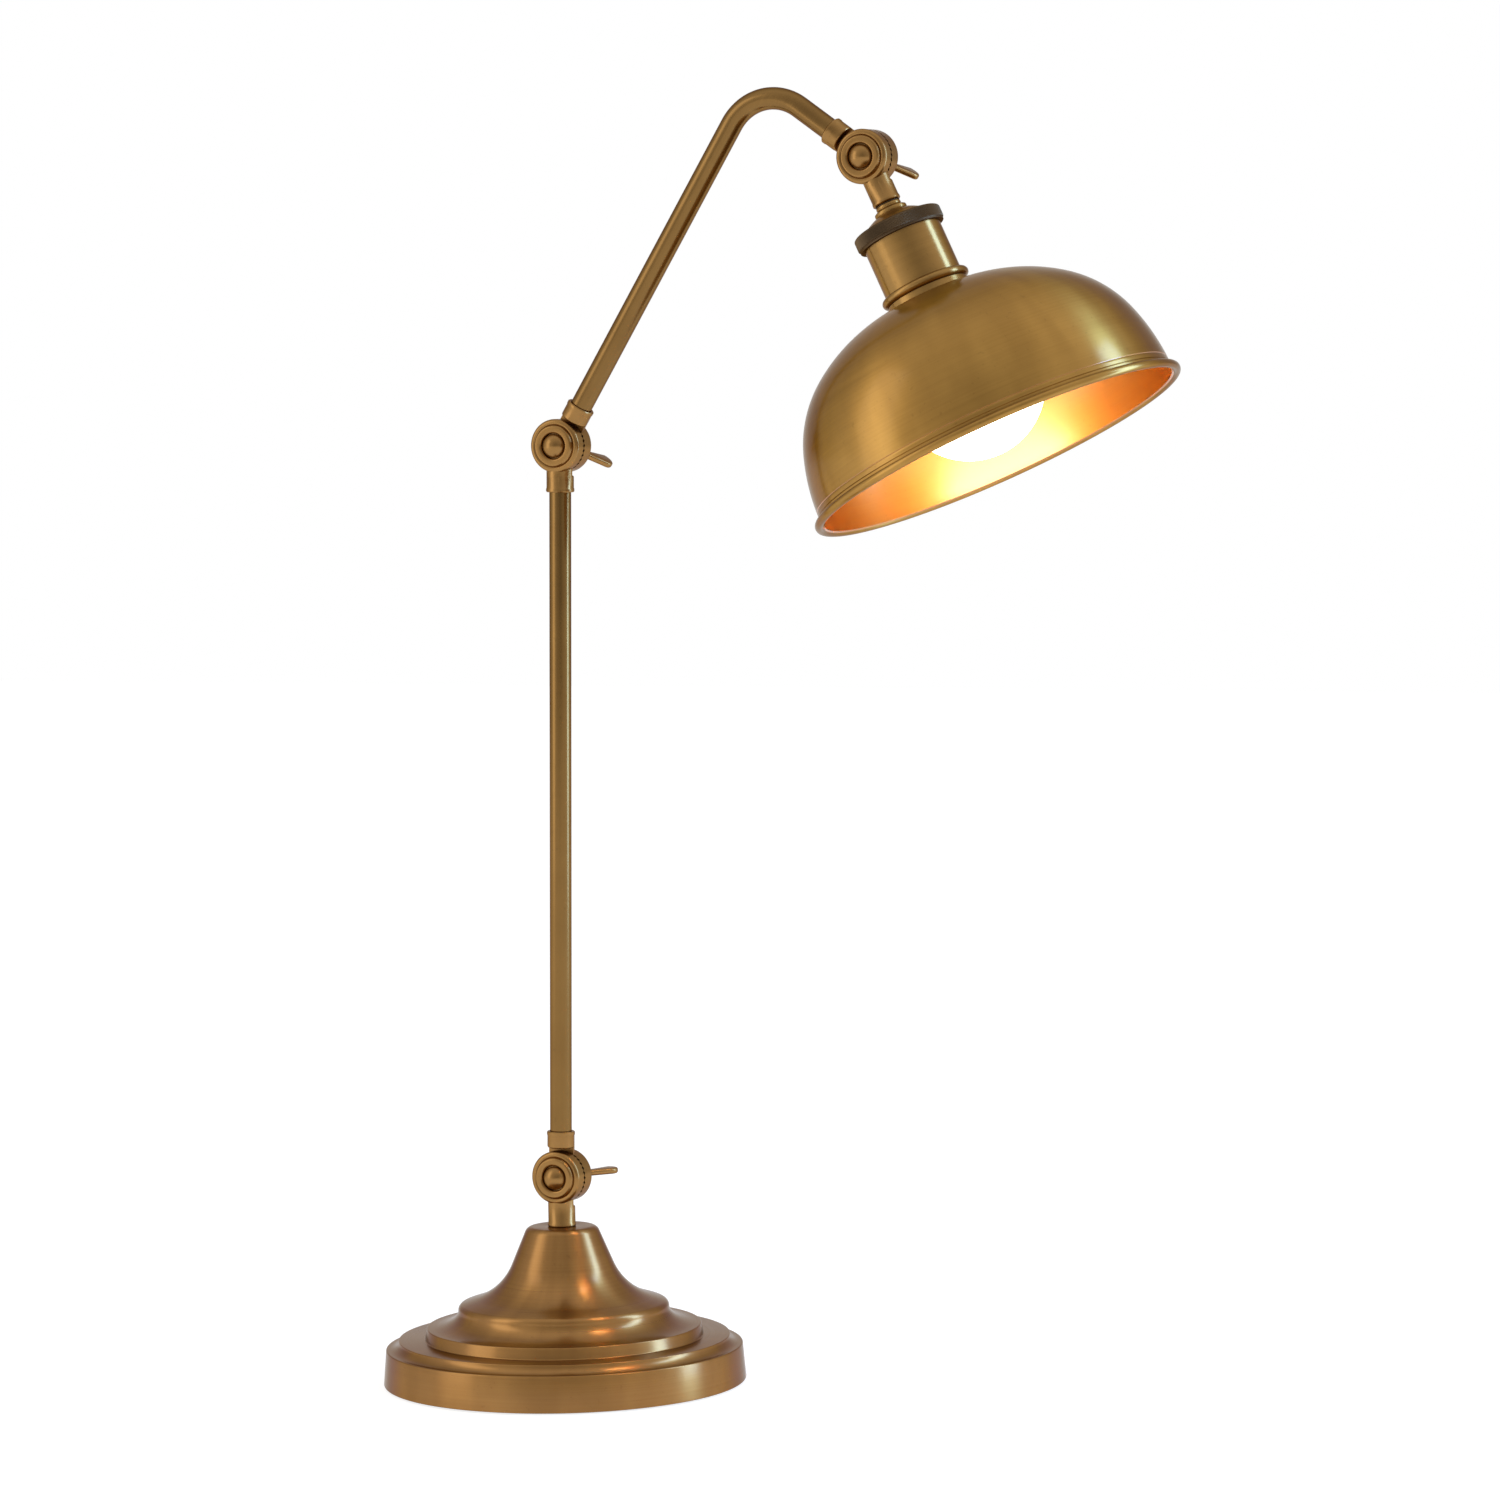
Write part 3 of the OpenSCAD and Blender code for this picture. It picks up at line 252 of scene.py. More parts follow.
def noise(tree, vector, scale, detail):
    return addNode(tree, "TexNoise", {"Vector": vector, "Scale": scale, "Detail": detail})


def ramp(tree, socket, edges, dark=(0, 0, 0)):  # from dark at the first edge to white at the second
    node = addNode(tree, "ValToRGB", {0: socket})
    low, high = node.color_ramp.elements
    low.position, high.position = edges
    low.color = (*dark, 1)
    return node.outputs[0]


def colourMix(tree, share, first, second, blend="MIX"):
    node = addNode(tree, "Mix", {0: share, 6: first, 7: second}, data_type="RGBA", blend_type=blend)
    return node.outputs[2]


# Brass, where a finish says nothing else. Edges are a ramp's, roughness is from the lines' dark to light,
# relief is the bump's strength and its depth in metres.
brassLook = {
    "light": (0.37, 0.205, 0.055), "dark": (0.24, 0.122, 0.027), "edge": (0.36, 0.28, 0.20),
    "roughness": (0.24, 0.36), "coat": 0.3, "coatIor": 1.5, "coatRoughness": 0.16,
    "brushed": "round", "acrossScale": 900, "alongScale": 12, "relief": (0.1, 0.0002), "stretch": 0.85,
    "grain": 0.25, "grainTone": (0.55, 0.5, 0.45), "grainEdges": (0.25, 0.7),
    "cloudScale": 20, "cloudRoughness": 0.6, "cloudEdges": (0.3, 0.7), "leastLight": 0.5,
    # The next line's values give dark bands down a turned piece: partly patina, partly painted reflection
    # streaks.
    "patinaAndSheen": 0.0, "patinaAndSheenScale": 1.6, "patinaAndSheenAround": 2.6, "patinaAndSheenRise": 9, "patinaAndSheenEdges": (0.38, 0.62),
    "speckScale": 420, "speckEdges": (0.26, 0.34), "specks": 0.12,
}


def brushLines(tree, turned, look):  # fine noise that follows the turning of the piece, or runs along it
    split = addNode(tree, "SeparateXYZ", {0: turned})
    first, second, third = (split.outputs[i] for i in range(3))
    if look["brushed"] == "round":
        flat = vectorNode(tree, "MULTIPLY", turned, (1, 1, 0))
        reach = vectorNode(tree, "LENGTH", flat.outputs[0])
        first, second, third = reach.outputs["Value"], third, first
    across, along = look["acrossScale"], look["alongScale"]
    parts = enumerate(((first, across), (second, across), (third, along)))
    spread = addNode(tree, "CombineXYZ", {i: product(tree, *part) for i, part in parts})
    return noise(tree, spread.outputs[0], 1, 3).outputs["Fac"]


def drawOutHighlights(tree, shader, place, at, stretch):  # across the brushing of a turned piece
    arm = vectorNode(tree, "SUBTRACT", place, at.to_translation())
    way = vectorNode(tree, "CROSS_PRODUCT", at.to_3x3() @ Vector((0, 0, 1)), arm.outputs[0])
    world = addNode(tree, "VectorTransform", {0: way.outputs[0]}, vector_type="VECTOR",
                    convert_from="OBJECT", convert_to="WORLD")
    fill(tree, shader, {"Tangent": world.outputs[0], "Anisotropic": stretch, "Anisotropic Rotation": 0.25})


def patinaAndSheenShare(tree, turned, look):  # how light the patina is: clouds, and dark bands down the piece, partly patina and partly painted reflection streaks
    cloud = fill(tree, noise(tree, turned, look["cloudScale"], 5), {"Roughness": look["cloudRoughness"]})
    shape = ramp(tree, cloud.outputs["Fac"], look["cloudEdges"])
    share = addNode(tree, "MapRange", {"Value": shape, "To Min": look["leastLight"], "To Max": 1.0})
    if not look["patinaAndSheen"]:
        return share.outputs["Result"]
    # Dark bands down the piece: partly patina, partly painted reflection streaks.
    flat = vectorNode(tree, "MULTIPLY", turned, (1, 1, 0))
    way = vectorNode(tree, "NORMALIZE", flat.outputs[0])
    around = vectorNode(tree, "MULTIPLY", way.outputs[0], (look["patinaAndSheenAround"], look["patinaAndSheenAround"], 0))
    rise = vectorNode(tree, "MULTIPLY", turned, (0, 0, look["patinaAndSheenRise"]))
    spot = vectorNode(tree, "ADD", around.outputs[0], rise.outputs[0])
    band = noise(tree, spot.outputs[0], look["patinaAndSheenScale"], 2)
    low, high = look["patinaAndSheenEdges"]
    level = addNode(tree, "MapRange", {"Value": band.outputs["Fac"], "From Min": low, "From Max": high,
                                       "To Min": 1 - look["patinaAndSheen"]})
    return product(tree, share.outputs["Result"], level.outputs["Result"])


def makeBrass(name, at, changes):
    look = {**brassLook, **changes}
    finish, tree, shader = newFinish(name)
    place, turned = coordinates(tree, at)
    lines = brushLines(tree, turned, look)
    if look["stretch"]:
        drawOutHighlights(tree, shader, place, at, look["stretch"])
    patina = colourMix(tree, patinaAndSheenShare(tree, turned, look), (*look["dark"], 1), (*look["light"], 1))
    streaks = ramp(tree, lines, look["grainEdges"], look["grainTone"])
    streaked = colourMix(tree, look["grain"], patina, streaks, "MULTIPLY")
    speck = noise(tree, turned, look["speckScale"], 2)
    spots = ramp(tree, speck.outputs["Fac"], look["speckEdges"])
    low, high = look["roughness"]
    rough = addNode(tree, "MapRange", {"Value": lines, "To Min": low, "To Max": high})
    strength, depth = look["relief"]
    bump = addNode(tree, "Bump", {"Height": lines, "Strength": strength, "Distance": depth})
    fill(tree, shader, {
        "Base Color": colourMix(tree, look["specks"], streaked, spots, "MULTIPLY"),
        "Roughness": rough.outputs["Result"], "Normal": bump.outputs[0],
        "Metallic": 1, "Specular Tint": (*look["edge"], 1),
        "Coat Weight": look["coat"], "Coat Roughness": look["coatRoughness"], "Coat IOR": look["coatIor"],
    })
    return finish


# Other surfaces, where one says nothing else: a cloudy colour with a fine grain.
plainLook = {"metallic": 0.0, "scale": 60.0, "contrast": 0.25, "bumpy": 0.1, "coat": 0.0,
             "fineness": 12, "relief": 0.0003}


def shaded(colour, share):
    return (*[c * share for c in colour], 1)


def makePlain(name, changes):
    look = {**plainLook, **changes}
    finish, tree, shader = newFinish(name)
    place = addNode(tree, "TexCoord").outputs["Object"]
    cloud = noise(tree, place, look["scale"], 4)
    fine = noise(tree, place, look["scale"] * look["fineness"], 3)
    bump = addNode(tree, "Bump", {"Height": fine.outputs["Fac"], "Strength": look["bumpy"],
                                  "Distance": look["relief"]})
    dark, light = shaded(look["colour"], 1 - look["contrast"]), shaded(look["colour"], 1)
    fill(tree, shader, {
        "Base Color": colourMix(tree, cloud.outputs["Fac"], dark, light), "Normal": bump.outputs[0],
        "Roughness": look["roughness"], "Metallic": look["metallic"], "Coat Weight": look["coat"],
    })
    return finish


# The lit globe, brighter towards its neck. The span is in millimetres below the head's pivot.
glowLook = {"colour": (1.0, 0.84, 0.64), "atNeck": 26.0, "atTip": 6.0, "span": (-170, -126),
            "roughness": 0.3, "cloudScale": 30, "cloud": 0.96}


def makeGlow(name):
    look = glowLook
    finish, tree, shader = newFinish(name)
    place, turned = coordinates(tree, headFrame)
    height = addNode(tree, "SeparateXYZ", {0: turned}).outputs["Z"]
    low, high = look["span"]
    fade = addNode(tree, "MapRange", {"Value": height, "From Min": low * mm, "From Max": high * mm,
                                      "To Min": look["atTip"], "To Max": look["atNeck"]},
                   interpolation_type="SMOOTHSTEP")
    cloud = addNode(tree, "TexNoise", {"Vector": place, "Scale": look["cloudScale"]})
    dark, light = shaded(look["colour"], look["cloud"]), shaded(look["colour"], 1)
    fill(tree, shader, {
        "Base Color": colourMix(tree, cloud.outputs["Fac"], dark, light), "Emission Color": light,
        "Emission Strength": fade.outputs["Result"], "Roughness": look["roughness"],
    })
    return finish


castTone = {"light": (0.35, 0.185, 0.052), "dark": (0.23, 0.112, 0.026), "stretch": 0.4, "grain": 0.12}
# The frame that each brass follows, and its own values.
brasses = {
    "baseBrass": (Matrix.Identity(4), {
        "light": (0.38, 0.19, 0.05), "dark": (0.24, 0.11, 0.024), "coat": 0.4, "coatRoughness": 0.2,
        "patinaAndSheen": 0.4}),
    # The post's and arm's brass is the same brass made darker, painted shade for the dim room they mirror.
    "postBrassPaintedShade": (postFrame, {
        "light": (0.26, 0.14, 0.036), "dark": (0.165, 0.082, 0.018), "roughness": (0.19, 0.28),
        "brushed": "along", "grain": 0.2, "stretch": 0, "coat": 0.25}),
    "armBrassPaintedShade": (armFrame, {
        "light": (0.25, 0.134, 0.035), "dark": (0.155, 0.077, 0.017), "roughness": (0.2, 0.3),
        "brushed": "along", "grain": 0.2, "stretch": 0, "coat": 0.25}),
    "headBrass": (headFrame, {"light": (0.39, 0.216, 0.058), "dark": (0.26, 0.135, 0.03)}),
    # The shade's outer brass is the same brass made lighter than the rest, painted light on it.
    "shadeBrassPaintedLight": (headFrame, {
        "light": (0.47, 0.255, 0.054), "dark": (0.3, 0.152, 0.026), "roughness": (0.25, 0.36),
        "coat": 0.35, "patinaAndSheen": 0.5}),
    # The inside of the shade: the same brass in a deeper orange, a painted glow of the lit bulb.
    "shadeInsidePaintedGlow": (headFrame, {
        "light": (0.52, 0.205, 0.018), "dark": (0.4, 0.143, 0.011), "edge": (0.8, 0.42, 0.12),
        "roughness": (0.34, 0.44), "grain": 0.12, "stretch": 0.3,
        "coat": 1.0, "coatIor": 1.9, "coatRoughness": 0.2}),
    "baseKnuckleBrass": (lieAt(basePivot, 1), castTone),
    "elbowKnuckleBrass": (lieAt(elbowPivot, 1), castTone),
    "headKnuckleBrass": (lieAt(headPivot, 1), castTone),
    "ringBrass": (headFrame, {
        "light": (0.15, 0.1, 0.055), "dark": (0.08, 0.052, 0.03), "roughness": (0.4, 0.55),
        "stretch": 0, "coat": 0}),
    "brightBrass": (headFrame, {
        "light": (0.72, 0.52, 0.22), "dark": (0.5, 0.34, 0.12), "edge": (0.9, 0.8, 0.6)}),
}
plains = {
    "steel": {"colour": (0.55, 0.55, 0.57), "roughness": 0.35, "metallic": 1.0},
    "castIron": {"colour": (0.05, 0.05, 0.052), "roughness": 0.6, "metallic": 0.6, "scale": 120,
                 "contrast": 0.5, "bumpy": 0.4},
    "felt": {"colour": (0.035, 0.065, 0.035), "roughness": 0.95, "scale": 300, "contrast": 0.5, "bumpy": 0.8},
    "rubber": {"colour": (0.02, 0.02, 0.02), "roughness": 0.65, "scale": 200, "bumpy": 0.3},
    "ceramic": {"colour": (0.8, 0.77, 0.68), "roughness": 0.25, "scale": 50, "contrast": 0.06,
                "bumpy": 0.02, "coat": 0.5},
    "leadBraid": {"colour": (0.12, 0.06, 0.025), "roughness": 0.9, "scale": 400, "contrast": 0.5,
                  "bumpy": 0.8},
    "blackGlass": {"colour": (0.01, 0.01, 0.012), "roughness": 0.08, "coat": 0.5, "contrast": 0.1,
                   "bumpy": 0.0},
}
finishes = {name: makeBrass(name, at, changes) for name, (at, changes) in brasses.items()}
finishes.update({name: makePlain(name, changes) for name, changes in plains.items()})
finishes["opalGlow"] = makeGlow("opalGlow")
print("finishes are made")


def clearSelection():
    if bpy.context.object and bpy.context.object.mode != "OBJECT":
        bpy.ops.object.mode_set(mode="OBJECT")
    bpy.ops.object.select_all(action="DESELECT")


def pick(piece):  # selects one piece alone and makes it active
    clearSelection()
    piece.select_set(True)
    bpy.context.view_layer.objects.active = piece


def oval(centre, across, up, start, end, steps):  # points on part of an ellipse, angles in degrees
    angles = [radians(start + (end - start) * i / steps) for i in range(steps + 1)]
    return [(centre[0] + across * cos(a), centre[1] + up * sin(a)) for a in angles]


def arc(centre, r, start, end, steps):
    return oval(centre, r, r, start, end, steps)


def inset(path, t):  # a path moved to its right-hand side by t, with mitred corners
    def across(a, b):
        length = hypot(b[0] - a[0], b[1] - a[1])
        return ((b[1] - a[1]) / length, (a[0] - b[0]) / length)
    moved = []
    for i, p in enumerate(path):
        m = across(path[i - 1], p) if i else across(p, path[1])
        n = across(p, path[i + 1]) if i < len(path) - 1 else m
        k = t / (1 + m[0] * n[0] + m[1] * n[1])
        moved.append((p[0] + k * (m[0] + n[0]), p[1] + k * (m[1] + n[1])))
    return moved


# The least turn in degrees that is rounded, and the most of a side that one corner takes.
corner = {"steps": 4, "least": 22, "share": 0.45}


def soften(points, radius, loop=True):  # rounds the corners of an outline, except on the axis
    out = []
    for i, p in enumerate(points):
        here, before, after = Vector(p), Vector(points[i - 1]), Vector(points[(i + 1) % len(points)])
        da, db = before - here, after - here
        end = not loop and i in (0, len(points) - 1)
        left = end or p[0] < tiny or da.length < tiny or db.length < tiny
        turn = 0 if left else pi - da.angle(db)
        if turn < radians(corner["least"]):
            out.append(p)
            continue
        bite = min(radius * tan(turn / 2), corner["share"] * da.length, corner["share"] * db.length)
        r = bite / tan(turn / 2)
        centre = here + (da.normalized() + db.normalized()).normalized() * (r / cos(turn / 2))
        first, last = here + da.normalized() * bite - centre, here + db.normalized() * bite - centre
        for k in range(corner["steps"] + 1):
            spot = centre + first.lerp(last, k / corner["steps"]).normalized() * r
            out.append((spot.x, spot.y))
    return out


def dropped(points):  # from (radius, drop below the head's pivot) to (radius, height)
    return [(r, -drop) for r, drop in points]


def extrude(way):  # in edit mode, by a way in metres
    bpy.ops.mesh.extrude_region_move(TRANSFORM_OT_translate={"value": way})


def drawLine(name, points):  # an edge line through points in metres, left in edit mode
    clearSelection()
    bpy.ops.mesh.primitive_plane_add(size=0.01, location=(0, 0, 0))
    piece = bpy.context.object
    piece.name = piece.data.name = name
    bpy.ops.object.mode_set(mode="EDIT")
    bpy.ops.mesh.select_all(action="SELECT")
    bpy.ops.mesh.merge(type="CENTER")
    bpy.ops.transform.translate(value=points[0])
    for a, b in zip(points, points[1:]):
        extrude(Vector(b) - Vector(a))
    return piece


def closeUp():  # in edit mode: joins doubles and turns the faces outwards
    bpy.ops.mesh.select_all(action="SELECT")
    bpy.ops.mesh.remove_doubles(threshold=2e-6)
    bpy.ops.mesh.normals_make_consistent(inside=False)


def lathe(name, outline, steps=96, loop=True):  # turns an outline in mm, (radius, height), round Z
    line = [Vector((r * mm, 0, z * mm)) for r, z in outline]
    if loop:
        line.append(line[0])
    piece = drawLine(name, line)
    bpy.ops.mesh.select_all(action="SELECT")
    bpy.ops.mesh.spin(steps=steps, angle=2 * pi, center=(0, 0, 0), axis=(0, 0, 1))
    closeUp()
    bpy.ops.object.mode_set(mode="OBJECT")
    return piece


def selectWhere(piece, columns, test):  # in edit mode: vertices whose place and column round Z pass a test
    shape = bmesh.from_edit_mesh(piece.data)
    for v in shape.verts:
        v.select = test(v.co, round(atan2(v.co.y, v.co.x) / (2 * pi) * columns))
    shape.select_flush_mode()
    bmesh.update_edit_mesh(piece.data)


def settle(piece, matrix):  # puts a piece in its place, with its place in its mesh
    pick(piece)
    piece.matrix_world = matrix @ piece.matrix_world
    bpy.ops.object.transform_apply(location=True, rotation=True, scale=True)
    return piece


def cut(piece, tool, operation="DIFFERENCE"):  # boolean with a tool that is used up
    pick(piece)
    change = piece.modifiers.new("cut", "BOOLEAN")
    change.operation, change.object, change.solver = operation, tool, "EXACT"
    bpy.ops.object.modifier_apply(modifier=change.name)
    bpy.data.objects.remove(tool)


def rod(name, r, low, high, steps=48):  # a plain round tool along Z, in mm
    clearSelection()
    middle = (low + high) / 2 * mm
    bpy.ops.mesh.primitive_cylinder_add(vertices=steps, radius=r * mm, depth=(high - low) * mm,
                                        location=(0, 0, middle))
    tool = bpy.context.object
    tool.name = name
    bpy.ops.object.transform_apply(location=True, rotation=True, scale=True)
    return tool


def finished(piece, finish, body, materialSlot, *replacedNodes, angle=32):  # angle: the sharpest smooth edge
    pick(piece)
    bpy.ops.object.shade_smooth_by_angle(angle=radians(angle))
    piece.data.materials.clear()
    piece.data.materials.append(finishes[finish])
    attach(piece, body)
    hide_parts(*replacedNodes)
    print("made", piece.name, len(piece.data.polygons), "faces")


# A step goes (in, up) from a ledge's inner edge to the next ridge.
base = {
    "radius": 100, "wall": 1.2, "lift": 0.6, "taper": 1.6, "wallTop": 20.3, "outerLedge": 1.5,
    "lowerStep": (5.5, 4.8), "middleLedge": 14.6, "upperStep": (1.1, 6.4), "cove": 17.5,
    "shoulderRadius": 3.5, "shoulderSlope": 18, "flareRadius": 34, "flank": 19.6, "flankSlope": 67,
    "topEdge": 4.5, "topRadius": 16.3, "hole": 5.05, "edge": 0.7,
    "inletHeight": 7.9, "inletRadius": 4.5, "inletReach": 10, "steps": 192,
}


def bellOutline():  # from the hole in the top, over its edge and down the flare
    b = base
    height, flank, shoulder = pose["baseTop"], b["flankSlope"], b["shoulderSlope"]
    s, h = radians(flank), radians(shoulder)
    edge = arc((b["topRadius"], height - b["topEdge"]), b["topEdge"], 90, 90 - flank, 10)
    start = (edge[-1][0] + b["flank"] * cos(s), edge[-1][1] - b["flank"] * sin(s))
    centre = (start[0] + b["flareRadius"] * sin(s), start[1] + b["flareRadius"] * cos(s))
    flare = arc(centre, b["flareRadius"], 270 - flank, 270 - shoulder, 24)
    return [(b["hole"], height)] + edge + flare


def baseOutline():
    b = base
    bell = bellOutline()
    h = radians(b["shoulderSlope"])
    wallTopRadius = b["radius"] - b["taper"]
    lowerFoot = wallTopRadius - b["outerLedge"]
    lowerRidge = (lowerFoot - b["lowerStep"][0], b["wallTop"] + b["lowerStep"][1])
    upperFoot = lowerRidge[0] - b["middleLedge"]
    upperRidge = (upperFoot - b["upperStep"][0], lowerRidge[1] + b["upperStep"][1])
    shoulderMiddle = upperRidge[0] - b["cove"] - b["shoulderRadius"]
    slopeFoot = shoulderMiddle + b["shoulderRadius"] * sin(h)
    foot = bell[-1][1] - (slopeFoot - bell[-1][0]) * tan(h) - b["shoulderRadius"] * cos(h)
    shoulder = arc((shoulderMiddle, foot), b["shoulderRadius"], 90 - b["shoulderSlope"], 0, 10)
    cove = oval((upperRidge[0], foot), b["cove"], foot - upperRidge[1], 180, 270, 24)[1:]
    lower = oval((lowerFoot, lowerRidge[1]), *b["lowerStep"], 180, 270, 8)
    return (bell + shoulder + cove + [(upperFoot, lowerRidge[1])] + lower
            + [(wallTopRadius, b["wallTop"]), (b["radius"], b["lift"])])


def makeBase():
    b = base
    outside = baseOutline()
    profile = outside + inset(outside, b["wall"])[::-1]
    shell = lathe("baseBell", soften(profile, b["edge"]), b["steps"])
    inlet = rod("inletTool", b["inletRadius"], -b["inletReach"], b["inletReach"])
    settle(inlet, standAt(Vector((-b["radius"], 0, b["inletHeight"])), 90))
    cut(shell, inlet)
    finished(shell, "baseBrass", "base", "antique_brass", "base_shell")


makeBase()


# Clearance is round a tube in its socket, gap is at its end.
tube = {"radius": 6, "wall": 1, "clearance": 0.04, "gap": 0.05, "edge": 0.2, "steps": 48, "bendSteps": 40}
washer = {"radius": 7.0, "thick": 1.2, "gap": 0.08, "edge": 0.25}
# Front and back are how far the halves' faces are from the middle. A raised ring on the front half stands
# round the bolt's seat. Stub is where a collar's half-round part starts, and how far it overlaps the rest.
knuckle = {
    "radius": 14.6, "front": 7.9, "back": 9.8, "gap": 0.15, "bore": 3.05, "frontEdge": 2, "backEdge": 1.6,
    "teeth": 34, "toothDepth": 1.1, "toothFlank": 0.35, "toothFoot": 8.6,
    "ringIn": 6.75, "ringOut": 11.5, "ringProud": 1.6, "ringInEdge": 1.4, "ringOutEdge": 1.1, "seat": 0.4,
    "backSeat": (9.0, 0.3), "collarRadius": 7.5, "collarReach": 25.3, "collarCut": 16.1, "collarEdge": 1.1,
    "collarSteps": 72, "stub": (10, 0.4), "socket": 7,
    "mouth": 2.3, "mouthProud": 0.25, "mouthEdge": (0.31, 0.3),
}
nutSeat = knuckle["back"] + 2 * washer["gap"] + washer["thick"]  # from the middle to the nut's foot


def frontFace():
    k = knuckle
    r, t, edge, outer, inner = (k[name] for name in ("radius", "front", "frontEdge", "ringOut", "ringIn"))
    top, outEdge, inEdge = t + k["ringProud"], k["ringOutEdge"], k["ringInEdge"]
    rim = arc((r - edge, t - edge), edge, 0, 90, 8)
    dip = [(outer + 0.5, t - 0.1), (outer, t - 0.35), (outer - 0.15, t + 0.5)]
    ring = (arc((outer - 0.4 - outEdge, top - outEdge), outEdge, 30, 90, 6)
            + arc((inner + 0.2 + inEdge, top - inEdge), inEdge, 90, 160, 7))
    return rim + dip + ring + [(inner, t - k["seat"]), (k["bore"], t - k["seat"])]


def backFace():
    k = knuckle
    r, t, edge = k["radius"], k["back"], k["backEdge"]
    seat, depth = k["backSeat"]
    rim = arc((r - edge, t - edge), edge, 0, 90, 8)
    return rim + [(seat + 0.5, t), (seat, t - depth), (k["bore"], t - depth)]


def sinkTeeth(disc):  # every fourth column of the flat ring goes in, and its neighbours a little
    k = knuckle

    def onRing(co):
        return abs(co.z - k["gap"] * mm) < tiny and hypot(co.x, co.y) > (k["toothFoot"] - 0.1) * mm

    bpy.ops.object.mode_set(mode="EDIT")
    for depth, sunk in ((k["toothDepth"], (0,)), (k["toothDepth"] * k["toothFlank"], (1, 3))):
        selectWhere(disc, 4 * k["teeth"], lambda co, column: onRing(co) and column % 4 in sunk)
        bpy.ops.transform.translate(value=(0, 0, depth * mm))
    bpy.ops.object.mode_set(mode="OBJECT")


def makeCollar(name, side, reach):  # whole above the other half, and half round beside it
    k = knuckle
    c, low, e, q, steps = k["collarRadius"], k["collarCut"], k["collarEdge"], reach, k["collarSteps"]
    lip, socket, floor = c + k["mouthProud"], tube["radius"] + tube["clearance"], q - k["socket"]
    edgeOut, edgeDown = k["mouthEdge"]
    outline = ([(0, low)] + arc((c - e, low + e), e, -90, 0, 6)
               + [(c, q - k["mouth"]), (lip, q - k["mouth"] + 0.4), (lip, q - 0.5), (lip - 0.5, q)]
               + [(socket + edgeOut, q), (socket, q - edgeDown), (socket, floor), (0, floor)])
    collar = lathe(name, outline, steps, loop=False)
    foot, overlap = k["stub"]
    stub = rod("stubTool", c, foot, low + e + overlap, steps)
    clearSelection()
    block = 40
    beside = side * (k["gap"] - block / 2) * mm
    bpy.ops.mesh.primitive_cube_add(size=block * mm, location=(0, beside, block / 2 * mm))
    cut(stub, bpy.context.object)
    cut(collar, stub, "UNION")
    return collar


def makeHalf(name, side, angle, pivot, reach, finish, body, node):
    k = knuckle
    face = frontFace() if side < 0 else backFace()
    flat = [(k["bore"], k["gap"]), (k["toothFoot"], k["gap"]), (k["radius"] - 0.01, k["gap"])]
    disc = lathe(name, flat + face, 4 * k["teeth"])
    sinkTeeth(disc)
    settle(disc, Matrix.Rotation(radians(-90 * side), 4, "X"))
    cut(disc, makeCollar(name + "Collar", side, reach), "UNION")
    settle(disc, standAt(pivot, angle))
    finished(disc, finish, body, "antique_brass", node)


bolt = {"head": 6.5, "edge": 1.0, "dome": 4.0, "radius": 3.0, "tip": 0.5, "past": 1.8, "round": 0.35,
        "steps": 72}
# The nut's hub from foot to top, then its blades: the lobes' span and height over the nut's foot.
wing = {
    "foot": 6.5, "footHeight": 1.2, "waistHeight": 3.5, "top": 5.2, "hub": 8.5, "hubEdge": 0.5,
    "span": 40, "height": 23, "lobe": 5.25, "lobeArc": (-48, 128), "root": 4.2, "thick": 3.2,
    "edge": 1.1, "bladeEdge": 3.0,
}


def makeBolt(name, pivot, finish, body, node):
    b = bolt
    seat = knuckle["front"] - knuckle["seat"]
    big = (b["head"] ** 2 + b["dome"] ** 2) / (2 * b["dome"])
    top = seat + b["edge"] + b["dome"]
    cap = arc((0, top - big), big, 90, 90 - degrees(asin(b["head"] / big)), 12)
    r, tail = b["radius"], -(nutSeat + wing["hub"] + b["past"])
    outline = cap + [(b["head"], seat), (r, seat), (r, tail + b["tip"]), (r - b["tip"], tail), (0, tail)]
    piece = lathe(name, soften(outline, b["round"], loop=False), b["steps"], loop=False)
    settle(piece, lieAt(pivot, 1))
    finished(piece, finish, body, "antique_brass", node)


def makeWasher(name, pivot, finish, body, node):
    w = washer
    low = knuckle["back"] + w["gap"]
    high = low + w["thick"]
    outline = [(knuckle["bore"], low), (w["radius"], low), (w["radius"], high), (knuckle["bore"], high)]
    piece = lathe(name, soften(outline, w["edge"]), 64)
    settle(piece, lieAt(pivot, -1))
    finished(piece, finish, body, "antique_brass", node)


def makeBlade(name):  # one lobe and its web, which starts inside the hub
    w = wing
    lobe = arc((w["span"] / 2 - w["lobe"], w["height"] - w["lobe"]), w["lobe"], *w["lobeArc"], 14)
    foot = [(w["root"], w["footHeight"]), (w["foot"] + 0.6, w["footHeight"]), (w["foot"] + 3.4, 3.2)]
    top = [(w["top"] + 2.1, w["hub"] + 0.4), (w["root"], w["hub"] - 0.6)]
    outline = soften(foot + lobe + top, w["bladeEdge"])
    blade = drawLine(name, [Vector((x * mm, 0, z * mm)) for x, z in outline])
    bpy.ops.mesh.select_all(action="SELECT")
    bpy.ops.mesh.edge_face_add()
    extrude((0, w["thick"] * mm, 0))
    bpy.ops.mesh.select_all(action="SELECT")
    bpy.ops.transform.translate(value=(0, -w["thick"] / 2 * mm, 0))
    bpy.ops.mesh.normals_make_consistent(inside=False)
    bpy.ops.object.mode_set(mode="OBJECT")
    edge = blade.modifiers.new("edge", "BEVEL")
    edge.width, edge.segments = w["edge"] * mm, 3
    edge.limit_method, edge.angle_limit = "ANGLE", radians(60)
    pick(blade)
    bpy.ops.object.modifier_apply(modifier=edge.name)
    return blade


